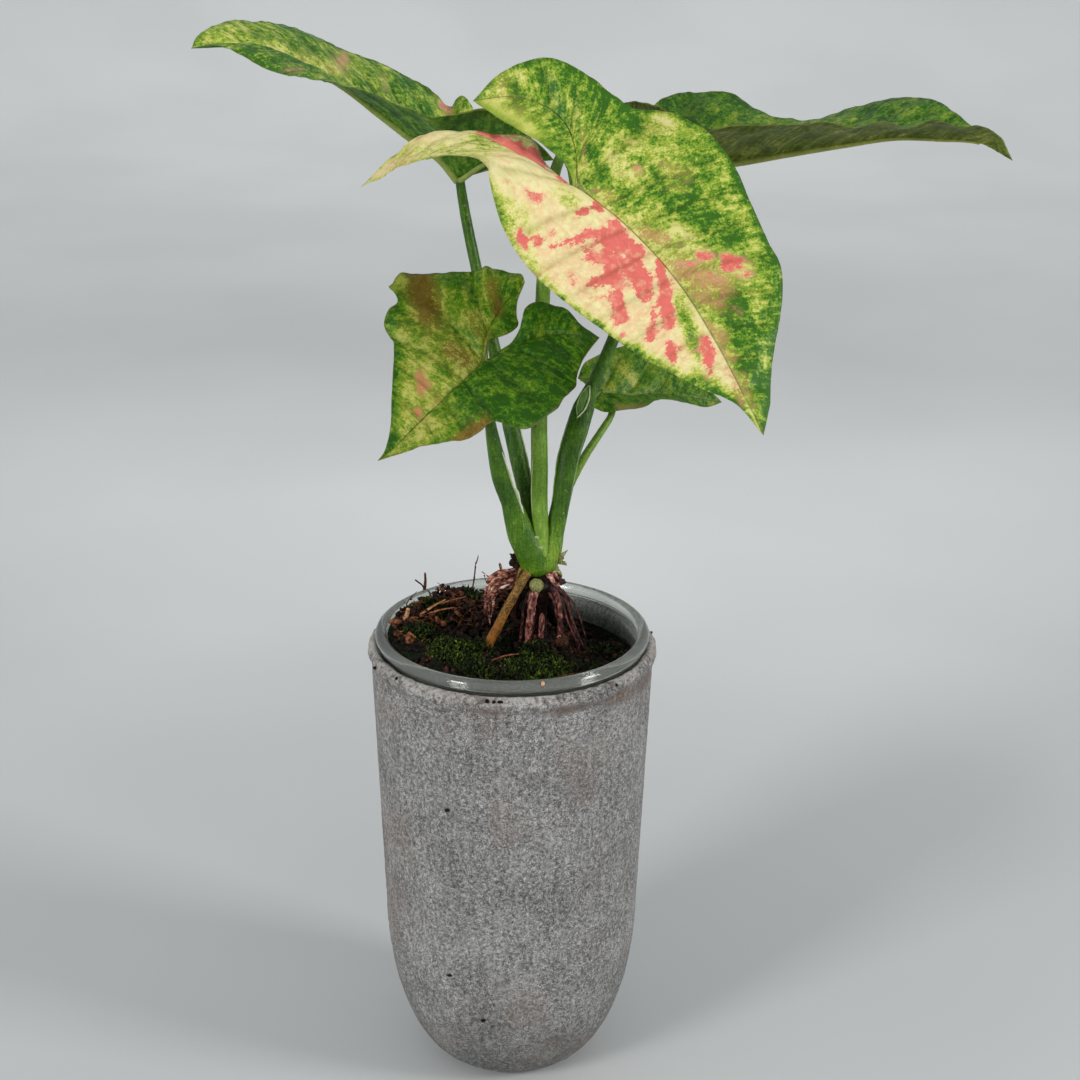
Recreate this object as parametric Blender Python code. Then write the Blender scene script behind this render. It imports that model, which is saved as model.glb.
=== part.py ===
"""Arrowhead plant in a clear growing cup, set in a rough grey outer pot.

Lengths below are millimetres, and each mesh is written in metres. The origin is the centre of the pot's
foot, +Z is up and the large blade leans towards -Y.
"""
import math

import bmesh
import bpy
from mathutils import Vector

MM = 0.001
FIT_GAP = 0.3                  # between pieces that touch on the real plant

# Outer pot and clear cup
FOOT_RADIUS = 17.0
SHOULDER_RADIUS = 38.2         # where the rounded bottom ends
SHOULDER_HEIGHT = 53.0
WALL_TOP_RADIUS = 41.2
WALL_TOP_HEIGHT = 131.5
LIP_RADIUS = 42.4
LIP_HEIGHT = 134.5
LIP_CREST = 136.7
POT_WALL = 2.4
CUP_RADIUS = 40.0              # outside of the rolled rim
CUP_HEIGHT = 140.5
CUP_WALL = 0.8
CUP_PLAY = 0.4
RIM_BEAD = 1.8
STEP_HEIGHT = 135.6            # stacking step below the rim
STEP_RADIUS = 36.2
TURNS = 40                     # facets round the pot, the cup and the mix

# Potting mix
MIX_EDGE_RADIUS = STEP_RADIUS - FIT_GAP
MIX_LEVEL = 135.5
MIX_FALL = 0.13                # drop for each millimetre towards +X
MIX_DIP = 4.5                  # low corner behind the plant on the right
MIX_DIP_CENTRE = (22.0, 22.0)
MIX_DIP_REACH = 15.0
MIX_HEAP = 12.0                # mound of mix behind the stem
MIX_HEAP_CENTRE = (1.5, 8.0)
MIX_HEAP_REACH = 8.5

# Stem, roots and stalks
STEM = (8.0, 0.0)
CROWN_FOOT = 158.3
CROWN_TOP = 170.0
STUB_FOOT = 124.0
ROOT_TAPER = 0.8
TUBE_SIDES = 10

# Blades
BLADE = 0.7                    # thickness of each blade
CAMBER = 0.05                  # rise between rib and edge for each millimetre of width
ROWS_LOBE = 7
ROWS_BLADE = 15
COLUMNS = 4
COLUMNS_INNER = 2

GREY_POT = ((0.42, 0.42, 0.44), 0.95, 0.0)
CLEAR_CUP = ((0.62, 0.66, 0.64), 0.25, 0.0)
DARK_MIX = ((0.05, 0.045, 0.02), 0.95, 0.0)
ROOT_BROWN = ((0.22, 0.10, 0.07), 0.80, 0.0)
ROOT_OCHRE = ((0.38, 0.20, 0.05), 0.60, 0.0)
SHEATH_TAN = ((0.35, 0.17, 0.12), 0.80, 0.0)
CROWN_GREEN = ((0.16, 0.32, 0.05), 0.50, 0.0)
STALK_GREEN = ((0.08, 0.22, 0.04), 0.45, 0.0)
STALK_LIGHT = ((0.20, 0.38, 0.08), 0.45, 0.0)
LEAF_CREAM = ((0.66, 0.62, 0.28), 0.45, 0.0)
LEAF_LIME = ((0.26, 0.42, 0.10), 0.45, 0.0)
LEAF_OLIVE = ((0.24, 0.34, 0.06), 0.45, 0.0)
LEAF_GREEN = ((0.08, 0.22, 0.06), 0.45, 0.0)

# Each stalk: its line from the crown to the blade, and half width and half depth along it
STALKS = {
    "stalk_front": dict(
        finish=STALK_LIGHT,
        line=[(7.8, -2.4, 170.3), (7.6, -2, 180.5), (7.6, -1.5, 190), (7.4, 0, 205), (8.2, 2, 240), (9.3, 4.5, 262),
              (11, 5.5, 272), (13, 3, 277.5), (15.2, -2, 276.5), (16.4, -7.5, 272.2), (16.5, -11.2, 270.2),
              (16.5, -13.3, 271.4)],
        half_width=[2.2, 2.4, 2.4, 2.3, 2.0, 1.8, 1.6, 1.4, 1.4, 1.4, 1.2, 0.8],
        half_depth=[2.2, 2.4, 2.3, 2.2, 1.9, 1.7, 1.6, 1.4, 1.4, 1.4, 1.2, 0.8]),
    "stalk_upper_left": dict(
        finish=STALK_GREEN,
        line=[(4.2, 2.8, 170.3), (4, 3.2, 178), (1.5, 6, 190.5), (-0.5, 8, 199), (-6, 15, 222), (-11, 21, 243),
              (-14, 24, 257), (-15.4, 24.1, 266.3)],
        half_width=[2.0, 2.2, 2.6, 2.5, 1.8, 1.6, 1.5, 1.3],
        half_depth=[2.0, 2.2, 2.3, 2.2, 1.7, 1.6, 1.5, 1.3]),
    "stalk_upper_right": dict(
        finish=STALK_GREEN,
        line=[(12, -0.4, 170.3), (13.6, -0.5, 178.5), (14.8, 0, 186), (16, 1.5, 193), (18, 3.5, 199.5),
              (20, 6, 205.5), (22.6, 8, 212), (27.8, 12, 223), (37, 22, 247), (43.7, 29, 263.5), (45.4, 29.9, 268.6)],
        half_width=[2.1, 2.6, 2.9, 3.1, 3.3, 3.1, 1.8, 1.75, 1.7, 1.5, 1.0],
        half_depth=[2.0, 2.3, 2.4, 2.4, 2.3, 2.1, 1.7, 1.7, 1.6, 1.4, 1.0]),
    "stalk_lower_left": dict(
        finish=STALK_GREEN,
        line=[(1.9, -3.2, 170.3), (-0.5, -4, 180.5), (-3, -5, 188), (-4.8, -7.5, 197), (-6, -10, 205),
              (-7.5, -15, 215), (-7.6, -19, 222.5), (-7.4, -20, 225.2)],
        half_width=[2.2, 2.8, 2.8, 2.2, 1.6, 1.5, 1.3, 0.9],
        half_depth=[2.0, 2.2, 2.2, 1.9, 1.6, 1.4, 1.2, 0.9]),
    "stalk_lower_right": dict(
        finish=STALK_LIGHT,
        line=[(10.8, 4.9, 170.3), (13, 6.2, 176.5), (17, 9, 183), (21, 12, 189.5), (25.3, 16.3, 195),
              (28.4, 20.5, 199), (28.8, 23.0, 202), (26.7, 22.4, 204.6)],
        half_width=[1.3, 1.3, 1.3, 1.2, 1.1, 1.0, 1.0, 0.8],
        half_depth=[1.3, 1.3, 1.2, 1.2, 1.1, 1.0, 1.0, 0.8]),
}

# Roots that prop the stem: line from the stub into the mix, and radius
PROP_ROOTS = [
    ([(7.2, -2.2, 155), (6, -4.6, 152), (5.4, -4.6, 145), (5, -3.6, 139), (4.8, -3.2, 130)], 1.3),
    ([(8.2, -2.4, 154.5), (8.7, -4.6, 150.5), (8.6, -5.4, 145), (8.4, -5.2, 139), (8.4, -5, 130)], 0.95),
    ([(10, -1.4, 155), (13, -3, 151), (14, -3.2, 143), (14.2, -3.2, 130)], 0.9),
    ([(10.4, 0, 154.5), (14.6, -0.8, 151), (17, -0.6, 143), (18.6, 0, 138), (19.4, 0.4, 129)], 0.8),
    ([(6, 0.8, 154), (2.4, 2, 151), (0.6, 2.4, 144), (-0.4, 2.6, 130)], 0.95),
    ([(8.8, 2, 154), (11.5, 5, 150), (12.8, 6.6, 142), (13.2, 7, 128)], 0.9),
]
AERIAL_ROOT = ([(5.2, -3.6, 160.2), (3.4, -5.8, 158), (0.6, -7.4, 153.2), (-2, -8, 148.4), (-4.2, -8.4, 143.6),
                (-6.6, -8.8, 138.7), (-7.8, -9, 131)], 1.5)
OLD_SHEATH = [(3.4, -1.6, 156.8), (-0.6, -2.6, 156.6), (-4.2, -3.6, 155.4), (-6.4, -4.4, 151.8), (-7, -5, 147)]
OLD_SHEATH_WIDTH = [1.5, 2.8, 3.0, 1.6, 0.7]
OLD_SHEATH_DEPTH = [0.8, 1.2, 1.2, 0.8, 0.5]
BUD_CENTRE = (7.0, -6.2, 156.0)
BUD_RADIUS = 2.0

# Each blade: its midrib from stalk to tip, and on both sides the rib of the lobe, the lobe's inner edge,
# its outer edge and the edge from there to the tip. Upward is 1 where the left half lies to the viewer's left
LEAVES = {
    "leaf_front": dict(
        finish=LEAF_CREAM,
        upward=1,
        midrib=[(16.5, -14, 272), (24.5, -16, 267.5), (34.5, -21, 259.5), (44, -29, 250), (53.5, -41, 237),
                (64.5, -56, 218)],
        left=dict(
            lobe_rib=[(-40, -13, 272), (-32, -9, 277.5), (-24.5, -5, 284), (-10, -3, 284.5), (-1, -5, 280.5),
                      (8.5, -9, 276.5), (16.5, -14, 272)],
            inner=[(-40, -13, 272), (-31, -5, 279.5), (-20, 5, 282.5), (-6.5, 7, 282.5), (4.5, 4, 282),
                   (8.5, -4, 277), (16.5, -14, 272)],
            lobe_edge=[(-40, -13, 272), (-28, -19, 279), (-17.5, -24, 282.5), (-6.5, -24, 282)],
            blade_edge=[(-6, -24, 277), (-2, -27, 263.5), (6, -33, 253.5), (16, -38, 246), (33, -44, 235.5),
                        (47.5, -48, 228.5), (57.5, -52, 225), (64.5, -56, 218)]),
        right=dict(
            lobe_rib=[(-11, 4, 292), (1.5, 4, 293), (12, 2, 288.5), (16.5, -4, 281.5), (16.5, -14, 272)],
            inner=[(-11, 4, 292), (-3.5, -1, 288), (8, -6, 282), (14, -10, 277.5), (16.5, -14, 272)],
            lobe_edge=[(-11, 4, 292), (-3, 7, 299.5), (9.5, 8, 303), (21, 6, 298), (31, 2, 291), (40, 0, 290.5)],
            blade_edge=[(51, -5, 286), (58, -10.5, 278.5), (63, -18, 268.5), (67, -23, 260.5), (70, -27, 255),
                        (70.5, -31, 248), (67.5, -41, 233), (66.5, -49, 224), (64.5, -56, 218)])),
    "leaf_upper_left": dict(
        finish=LEAF_LIME,
        upward=-1,
        midrib=[(-15.5, 24, 267), (-20.5, 24, 273), (-28, 23, 278.5), (-37, 22, 285.5), (-46, 19, 293),
                (-56.5, 14, 300), (-68.5, 9, 305.5), (-85.5, 2, 305.5)],
        left=dict(
            lobe_rib=[(11, 13, 274.5), (1.5, 17, 274.5), (-7.5, 21, 272.5), (-15.5, 24, 267)],
            inner=[(11, 13, 274.5), (1, 18.5, 272.5), (-8, 22.5, 269.5), (-15.5, 24, 267)],
            lobe_edge=[(11, 13, 274.5), (7, 11.5, 279), (-1, 9, 285.5), (-8.5, 7, 289.5), (-17.5, 5, 288),
                       (-24, 3, 288.5)],
            blade_edge=[(-36.5, 1, 294), (-45, -1, 296.5), (-55.5, -3, 299), (-65, -5, 301.5), (-71.5, -4, 305),
                        (-79, -1, 307), (-85.5, 2, 305.5)]),
        right=dict(
            lobe_rib=[(-3.5, 42, 276.5), (-9.5, 34, 271.5), (-15.5, 24, 267)],
            inner=[(-3.5, 42, 276.5), (-5.5, 35, 271.5), (-10.5, 28.5, 268.2), (-15.5, 24, 267)],
            lobe_edge=[(-3.5, 42, 276.5), (-10.5, 45, 280), (-13, 46, 284), (-15.5, 47, 286.5), (-17.5, 48, 285),
                       (-18.5, 49, 281.5)],
            blade_edge=[(-24.5, 49, 287.5), (-37, 48, 294.5), (-51.5, 42, 301), (-60.5, 37, 306), (-70, 28, 309.5),
                        (-79, 16, 310.5), (-84.5, 6, 308), (-85.5, 2, 305.5)])),
    "leaf_lower_left": dict(
        finish=LEAF_OLIVE,
        upward=1,
        midrib=[(-7.5, -20, 226.5), (-12, -25, 223.5), (-20, -34.5, 218), (-26.6, -44.2, 213.8),
                (-30.2, -49, 211.2), (-34, -52, 209)],
        left=dict(
            lobe_rib=[(3.2, -2.5, 244), (0, -5, 241), (-3.2, -8.5, 237.9), (-5.8, -12.5, 234.5),
                      (-7.1, -15.5, 232.1), (-7.6, -18, 229.6), (-7.5, -20, 226.5)],
            inner=[(3.2, -2.5, 244), (2.4, -4.5, 242.3), (1.3, -7, 239.9), (1.1, -10, 236.4),
                   (1.6, -11.5, 234.5), (0.1, -13, 233.1), (-2.2, -14.5, 232.2), (-4.7, -16, 231.9),
                   (-6.4, -17, 231.4), (-7, -18.5, 229.3), (-7.5, -20, 226.5)],
            lobe_edge=[(3.2, -2.5, 244), (2.3, 0.5, 245.4), (0.2, 2, 245.4), (-2.5, 3.2, 245.7),
                       (-5.2, 4.2, 245.8), (-7.8, 5.2, 246.6), (-9.5, 4.8, 245.6), (-11.8, 5.2, 245),
                       (-17.6, 5, 244.9), (-23.7, 4, 244.5), (-27.6, 3, 244.9), (-30.5, 2, 245.3)],
            blade_edge=[(-32.1, 0, 244.6), (-33, -2, 243.4), (-33.9, -4, 242.9), (-32.5, -5, 241.5),
                        (-31.4, -7, 240), (-31.6, -8, 239.2), (-33.5, -10, 238.1), (-34.5, -12, 235.9),
                        (-34.5, -13.5, 234), (-33.6, -15, 232.4), (-32.2, -16.5, 231.8), (-31.6, -21, 229.4),
                        (-31.5, -28.5, 225), (-31.4, -35.5, 220.5), (-31.3, -42, 216), (-31.7, -46.5, 212.8),
                        (-32.5, -49.5, 210.6), (-34, -52, 209)]),
        right=dict(
            lobe_rib=[(23.5, -17, 232.5), (15.6, -14.5, 232.6), (9, -14, 232), (3.1, -16, 230.6),
                      (-1.9, -18, 228.6), (-7.5, -20, 226.5)],
            inner=[(23.5, -17, 232.5), (21.2, -14.5, 233.4), (18.5, -12, 234.7), (16.7, -9.5, 236.3),
                   (15.4, -8.5, 237.4), (13.4, -7.5, 238.3), (11.4, -7.5, 238.5), (9.5, -7, 239.3),
                   (6.8, -7, 239.8), (4.6, -7.5, 239.2), (3.3, -8.5, 238), (2.6, -10, 236),
                   (1.4, -13, 232.8), (-0.2, -15.5, 230.7), (-3.1, -17.5, 229), (-5.7, -19, 227.4),
                   (-7.5, -20, 226.5)],
            lobe_edge=[(23.5, -17, 232.5), (20.8, -20.5, 230), (18.5, -24.5, 227.5), (17.3, -28.5, 224.7),
                       (17.1, -31, 223.1), (15.3, -33.5, 221.9), (13.7, -36, 221), (12.1, -38.5, 219.1),
                       (9.6, -41, 217.9)],
            blade_edge=[(6.9, -44, 216.9), (4.7, -45.5, 216.2), (2.2, -46.5, 216.1), (-0.3, -46.3, 216.8),
                        (-2.5, -46, 217.8), (-4, -46, 218.1), (-5.9, -47, 217.5), (-7.7, -48.3, 215.9),
                        (-11.4, -49.5, 214.3), (-15.1, -50, 213.8), (-19.4, -50, 213.1),
                        (-22.5, -50.5, 212.6), (-26.7, -51.5, 211.3), (-30.4, -52, 210.3), (-34, -52, 209)])),
    "leaf_lower_right": dict(
        finish=LEAF_GREEN,
        upward=-1,
        midrib=[(25.5, 21, 206), (34, 24, 204), (42.5, 29, 202.5), (52.5, 36, 199.5), (62.5, 43, 196)],
        left=dict(
            lobe_rib=[(18.5, 22, 209.5), (22, 22, 208.5), (25.5, 21, 206)],
            inner=[(18.5, 22, 209.5), (21.5, 20, 208), (25.5, 21, 206)],
            lobe_edge=[(18.5, 22, 209.5), (20.5, 26, 213), (25, 30, 214.5), (32.5, 35, 215.5)],
            blade_edge=[(41.5, 40, 213), (52.5, 44, 205.5), (62.5, 43, 196)]),
        right=dict(
            lobe_rib=[(22, 16, 203), (24, 19, 204.5), (25.5, 21, 206)],
            inner=[(22, 16, 203), (22.5, 18, 205.5), (25.5, 21, 206)],
            lobe_edge=[(22, 16, 203), (26.5, 15, 201.5), (34, 17, 202)],
            blade_edge=[(38, 19, 202), (42.5, 24, 202.5), (51, 31, 199.5), (57.5, 38, 196), (62.5, 43, 196)])),
    "leaf_upper_right": dict(
        finish=LEAF_GREEN,
        upward=-1,
        midrib=[(45.5, 30, 269.5), (61.5, 30, 271.5), (77.5, 29, 274.5), (91.5, 28, 277), (106.5, 26, 279.5),
                (118.5, 24, 279.5), (129.5, 21, 279), (137.5, 15, 275)],
        left=dict(
            lobe_rib=[(39.5, 50, 280), (42.5, 38, 273), (45.5, 30, 269.5)],
            inner=[(39.5, 50, 280), (39, 44, 274.5), (41.5, 36, 271), (45.5, 30, 269.5)],
            lobe_edge=[(39.5, 50, 280), (40.5, 54, 283.5), (44, 57, 285), (51, 59, 286)],
            blade_edge=[(62.5, 59, 286), (70, 57, 282), (77.5, 54, 279.5), (87, 52, 279.5), (97.5, 51, 283),
                        (109.5, 48, 286.5), (118.5, 43, 287), (128, 28, 282.5), (137.5, 15, 275)]),
        right=dict(
            lobe_rib=[(29, 14, 290), (34, 19, 283.5), (39.5, 25, 275.5), (45.5, 30, 269.5)],
            inner=[(29, 14, 290), (32, 22, 280), (38, 27, 272.5), (45.5, 30, 269.5)],
            lobe_edge=[(29, 14, 290), (34, 11.5, 291), (39.5, 10, 290), (45.5, 9, 286.5), (51.5, 9, 284.5)],
            blade_edge=[(59, 8, 285), (73, 6, 286), (85, 7, 286.5), (92, 7, 285.5), (100, 7, 287),
                        (106.5, 7.5, 285.5), (113, 8, 287), (121, 9, 285.5), (128.5, 11, 284.5),
                        (133.5, 13, 281.5), (137.5, 15, 275)])),
}


def clear_scene():
    for obj in list(bpy.data.objects):
        bpy.data.objects.remove(obj)


def finish_material(name, finish):
    colour, roughness, metallic = finish
    material = bpy.data.materials.new(name)
    material.use_nodes = True
    shader = material.node_tree.nodes["Principled BSDF"]
    shader.inputs["Base Color"].default_value = (*colour, 1.0)
    shader.inputs["Roughness"].default_value = roughness
    shader.inputs["Metallic"].default_value = metallic
    return material


def add_object(name, bm, finish, parent=None, smooth=40.0):
    """Turn a bmesh in millimetres into an object in metres, with a material of its own."""
    bmesh.ops.scale(bm, vec=(MM, MM, MM), verts=bm.verts)
    mesh = bpy.data.meshes.new(name)
    bm.to_mesh(mesh)
    bm.free()
    mesh.shade_smooth()
    mesh.set_sharp_from_angle(angle=math.radians(smooth))
    mesh.materials.append(finish_material(name, finish))
    obj = bpy.data.objects.new(name, mesh)
    bpy.context.collection.objects.link(obj)
    obj.parent = parent
    return obj


def add_group(name):
    group = bpy.data.objects.new(name, None)
    bpy.context.collection.objects.link(group)
    return group


def curve_point(a, b, c, d, share):
    """Centripetal Catmull-Rom point between b and c."""
    knots = [0.0]
    for start, end in ((a, b), (b, c), (c, d)):
        knots.append(knots[-1] + max((end - start).length, 1e-6) ** 0.5)
    t0, t1, t2, t3 = knots
    t = t1 + share * (t2 - t1)
    ab = a.lerp(b, (t - t0) / (t1 - t0))
    bc = b.lerp(c, (t - t1) / (t2 - t1))
    cd = c.lerp(d, (t - t2) / (t3 - t2))
    abc = ab.lerp(bc, (t - t0) / (t2 - t0))
    bcd = bc.lerp(cd, (t - t1) / (t3 - t1))
    return abc.lerp(bcd, (t - t1) / (t2 - t1))


def smooth_line(points, steps=16):
    """Many points on one smooth curve through the given points."""
    points = [Vector(p) for p in points]
    padded = [2 * points[0] - points[1], *points, 2 * points[-1] - points[-2]]
    line = []
    for a, b, c, d in zip(padded, padded[1:], padded[2:], padded[3:]):
        line += [curve_point(a, b, c, d, i / steps) for i in range(steps)]
    return line + [points[-1]]


def spaced(line, count):
    """The line again as count + 1 points at equal distances along it."""
    reach = [0.0]
    for a, b in zip(line, line[1:]):
        reach.append(reach[-1] + (b - a).length)
    result = []
    k = 0
    for i in range(count + 1):
        target = reach[-1] * i / count
        while k < len(reach) - 2 and reach[k + 1] < target:
            k += 1
        result.append(line[k].lerp(line[k + 1], (target - reach[k]) / (reach[k + 1] - reach[k])))
    return result


def turned(profile, sides=TURNS):
    """Solid of revolution from a profile that starts and ends on the axis."""
    bm = bmesh.new()
    rings = []
    for radius, height in profile:
        if radius == 0:
            rings.append([bm.verts.new((0, 0, height))] * sides)
            continue
        turns = [2 * math.pi * i / sides for i in range(sides)]
        rings.append([bm.verts.new((radius * math.cos(a), radius * math.sin(a), height)) for a in turns])
    for low, high in zip(rings, rings[1:]):
        for i in range(sides):
            j = (i + 1) % sides
            corners = list(dict.fromkeys((low[i], low[j], high[j], high[i])))
            bm.faces.new(corners)
    bmesh.ops.recalc_face_normals(bm, faces=bm.faces)
    return bm


def tube(line, half_width, half_depth, steps=2, sides=TUBE_SIDES, level_start=False):
    """Oval tube with flat ends. Its width lies along X, and each point of the line has its own half sizes."""
    path = smooth_line(line, steps)
    bm = bmesh.new()
    rings = []
    for i, centre in enumerate(path):
        ahead = (path[min(i + 1, len(path) - 1)] - path[max(i - 1, 0)]).normalized()
        if level_start and i == 0:
            ahead = Vector((0, 0, 1))
        across = (Vector((1, 0, 0)) - ahead * ahead.x).normalized()
        deep = ahead.cross(across)
        k = min(i // steps, len(line) - 2)
        share = i / steps - k
        wide = half_width[k] + (half_width[k + 1] - half_width[k]) * share
        thick = half_depth[k] + (half_depth[k + 1] - half_depth[k]) * share
        turns = [2 * math.pi * s / sides for s in range(sides)]
        rings.append([bm.verts.new(centre + across * wide * math.cos(a) + deep * thick * math.sin(a)) for a in turns])
    for low, high in zip(rings, rings[1:]):
        for s in range(sides):
            bm.faces.new((low[s], low[(s + 1) % sides], high[(s + 1) % sides], high[s]))
    bm.faces.new(rings[0])
    bm.faces.new(rings[-1])
    bmesh.ops.recalc_face_normals(bm, faces=bm.faces)
    return bm


def settle(obj):
    """Apply the object's modifiers."""
    depsgraph = bpy.context.evaluated_depsgraph_get()
    mesh = bpy.data.meshes.new_from_object(obj.evaluated_get(depsgraph))
    obj.modifiers.clear()
    obj.data = mesh


def boolean(obj, other, operation):
    modifier = obj.modifiers.new(operation.lower(), "BOOLEAN")
    modifier.operation = operation
    modifier.object = other
    modifier.solver = "EXACT"
    settle(obj)
    bpy.data.objects.remove(other)


def bowl(inset, steps=7):
    """Inner or outer wall of the pot, from the middle of its floor to the top of the wall."""
    profile = [(0.0, inset), (FOOT_RADIUS, inset)]
    for i in range(1, steps + 1):
        angle = math.pi / 2 * (1 - i / steps)
        radius = FOOT_RADIUS + (SHOULDER_RADIUS - FOOT_RADIUS - inset) * math.cos(angle)
        profile.append((radius, SHOULDER_HEIGHT - (SHOULDER_HEIGHT - inset) * math.sin(angle)))
    return profile + [(WALL_TOP_RADIUS - inset, WALL_TOP_HEIGHT)]


def make_pot(parent):
    lip_inside = WALL_TOP_RADIUS - POT_WALL + 0.1
    lip = [(LIP_RADIUS - 0.2, LIP_HEIGHT - 1.5), (LIP_RADIUS, LIP_HEIGHT), (LIP_RADIUS - 0.6, LIP_HEIGHT + 1.4),
           (LIP_RADIUS - 1.6, LIP_CREST), (lip_inside + 1.0, LIP_CREST - 0.4), (lip_inside, LIP_HEIGHT + 0.2)]
    profile = bowl(0.0) + lip + bowl(POT_WALL)[::-1]
    add_object("pot_outer", turned(profile), GREY_POT, parent)


def make_cup(parent):
    outer = bowl(POT_WALL + CUP_PLAY)
    inner = bowl(POT_WALL + CUP_PLAY + CUP_WALL)
    bead_centre = (CUP_RADIUS - RIM_BEAD, CUP_HEIGHT - RIM_BEAD)
    bead = []
    for degrees in range(-80, 201, 35):
        angle = math.radians(degrees)
        bead.append((bead_centre[0] + RIM_BEAD * math.cos(angle), bead_centre[1] + RIM_BEAD * math.sin(angle)))
    step = [(STEP_RADIUS + 1.2, STEP_HEIGHT + 0.6), (STEP_RADIUS, STEP_HEIGHT), (STEP_RADIUS, STEP_HEIGHT - 1.8)]
    add_object("cup_clear", turned(outer + bead + step + inner[::-1]), CLEAR_CUP, parent)


def mix_height(x, y):
    dip_x, dip_y = MIX_DIP_CENTRE
    dip = MIX_DIP * math.exp(-((x - dip_x) ** 2 + (y - dip_y) ** 2) / MIX_DIP_REACH ** 2)
    heap_x, heap_y = MIX_HEAP_CENTRE
    heap = MIX_HEAP * math.exp(-((x - heap_x) ** 2 + (y - heap_y) ** 2) / MIX_HEAP_REACH ** 2)
    lumps = 0.7 * math.sin(0.31 * x + 1.0) * math.cos(0.27 * y) + 0.5 * math.sin(0.23 * (x + y))
    return MIX_LEVEL - MIX_FALL * x + lumps - dip + heap


def make_mix(parent):
    inset = POT_WALL + CUP_PLAY + CUP_WALL + FIT_GAP
    wall = bowl(inset)
    wall[-1] = (wall[-1][0] - 0.1, WALL_TOP_HEIGHT - 3.0)
    top = [(MIX_EDGE_RADIUS, WALL_TOP_HEIGHT - 1.5)]
    top += [(MIX_EDGE_RADIUS * share, CUP_HEIGHT) for share in (1, 0.85, 0.68, 0.52, 0.38, 0.25, 0.12)] + [(0.0, CUP_HEIGHT)]
    bm = turned(wall + top)
    for vert in bm.verts:
        if vert.co.z == CUP_HEIGHT:
            vert.co.z = mix_height(vert.co.x, vert.co.y)
    return add_object("potting_mix", bm, DARK_MIX, parent)


def root_tube(line, radius, extra=0.0):
    """One root, or with extra the hole that it stands in."""
    line = [Vector(p) for p in line]
    line[-1] = line[-1] + (line[-1] - line[-2]).normalized() * extra
    sizes = [radius + extra] * (len(line) - 1) + [radius * ROOT_TAPER + extra]
    return tube(line, sizes, sizes, sides=8)


def stub_tube(extra=0.0):
    line = [(*STEM, CROWN_FOOT - FIT_GAP), (*STEM, MIX_LEVEL), (*STEM, STUB_FOOT - extra)]
    sizes = [4.2 + extra, 3.6 + extra, 3.0 + extra]
    return tube(line, sizes, sizes, sides=12)


def crown_tube(extra=0.0):
    x, y = STEM
    line = [(x, y + 0.2, CROWN_FOOT - extra), (x, y + 0.2, 160.5), (x - 0.3, y + 0.4, 164.5),
            (x - 0.6, y + 0.6, 168.5), (x - 0.6, y + 0.6, CROWN_TOP + extra)]
    wide = [4.8 + extra, 5.6 + extra, 6.4 + extra, 7.1 + extra, 7.3 + extra]
    deep = [4.4 + extra, 5.0 + extra, 5.6 + extra, 6.0 + extra, 6.2 + extra]
    return tube(line, wide, deep, sides=16)


def make_roots(parent, mix):
    """Stem stub with its prop roots as one body, the aerial root, and the holes that they stand in."""
    base = add_object("root_base", stub_tube(), ROOT_BROWN, parent)
    for line, radius in PROP_ROOTS:
        boolean(base, add_object("prop", root_tube(line, radius), ROOT_BROWN), "UNION")
        boolean(mix, add_object("hole", root_tube(line, radius, FIT_GAP), DARK_MIX), "DIFFERENCE")
    boolean(mix, add_object("hole", stub_tube(FIT_GAP), DARK_MIX), "DIFFERENCE")
    line, radius = AERIAL_ROOT
    aerial = add_object("aerial_root", root_tube(line, radius), ROOT_OCHRE, parent)
    boolean(aerial, add_object("room", crown_tube(FIT_GAP), CROWN_GREEN), "DIFFERENCE")
    boolean(mix, add_object("hole", root_tube(line, radius, FIT_GAP), DARK_MIX), "DIFFERENCE")


def make_crown(parent):
    add_object("stem_crown", crown_tube(), CROWN_GREEN, parent)
    sheath = tube(OLD_SHEATH, OLD_SHEATH_WIDTH, OLD_SHEATH_DEPTH, sides=8)
    sheath = add_object("old_sheath", sheath, SHEATH_TAN, parent)
    boolean(sheath, add_object("room", crown_tube(FIT_GAP), CROWN_GREEN), "DIFFERENCE")
    bm = bmesh.new()
    bmesh.ops.create_icosphere(bm, subdivisions=2, radius=BUD_RADIUS)
    bmesh.ops.translate(bm, vec=BUD_CENTRE, verts=bm.verts)
    bud = add_object("side_bud", bm, CROWN_GREEN, parent)
    boolean(bud, add_object("room", crown_tube(FIT_GAP), CROWN_GREEN), "DIFFERENCE")


def make_stalk(name, stalk, parent):
    bm = tube(stalk["line"], stalk["half_width"], stalk["half_depth"], level_start=True)
    add_object(name, bm, stalk["finish"], parent)


def ruled(bm, spine, edge, columns, side, upward):
    """Rows of cells between a rib and an edge, raised a little between them."""
    rows = []
    for i, (rib, rim) in enumerate(zip(spine, edge)):
        along = spine[min(i + 1, len(spine) - 1)] - spine[max(i - 1, 0)]
        across = rim - rib
        rise = across.cross(along)
        rise = rise.normalized() * side * upward * CAMBER * across.length if rise.length > 1e-6 else Vector()
        rows.append([bm.verts.new(rib + across * k / columns + rise * math.sin(math.pi * k / columns))
                     for k in range(columns + 1)])
    for low, high in zip(rows, rows[1:]):
        for k in range(columns):
            cell = (low[k], low[k + 1], high[k + 1], high[k])
            bm.faces.new(cell if side > 0 else cell[::-1])


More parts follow.
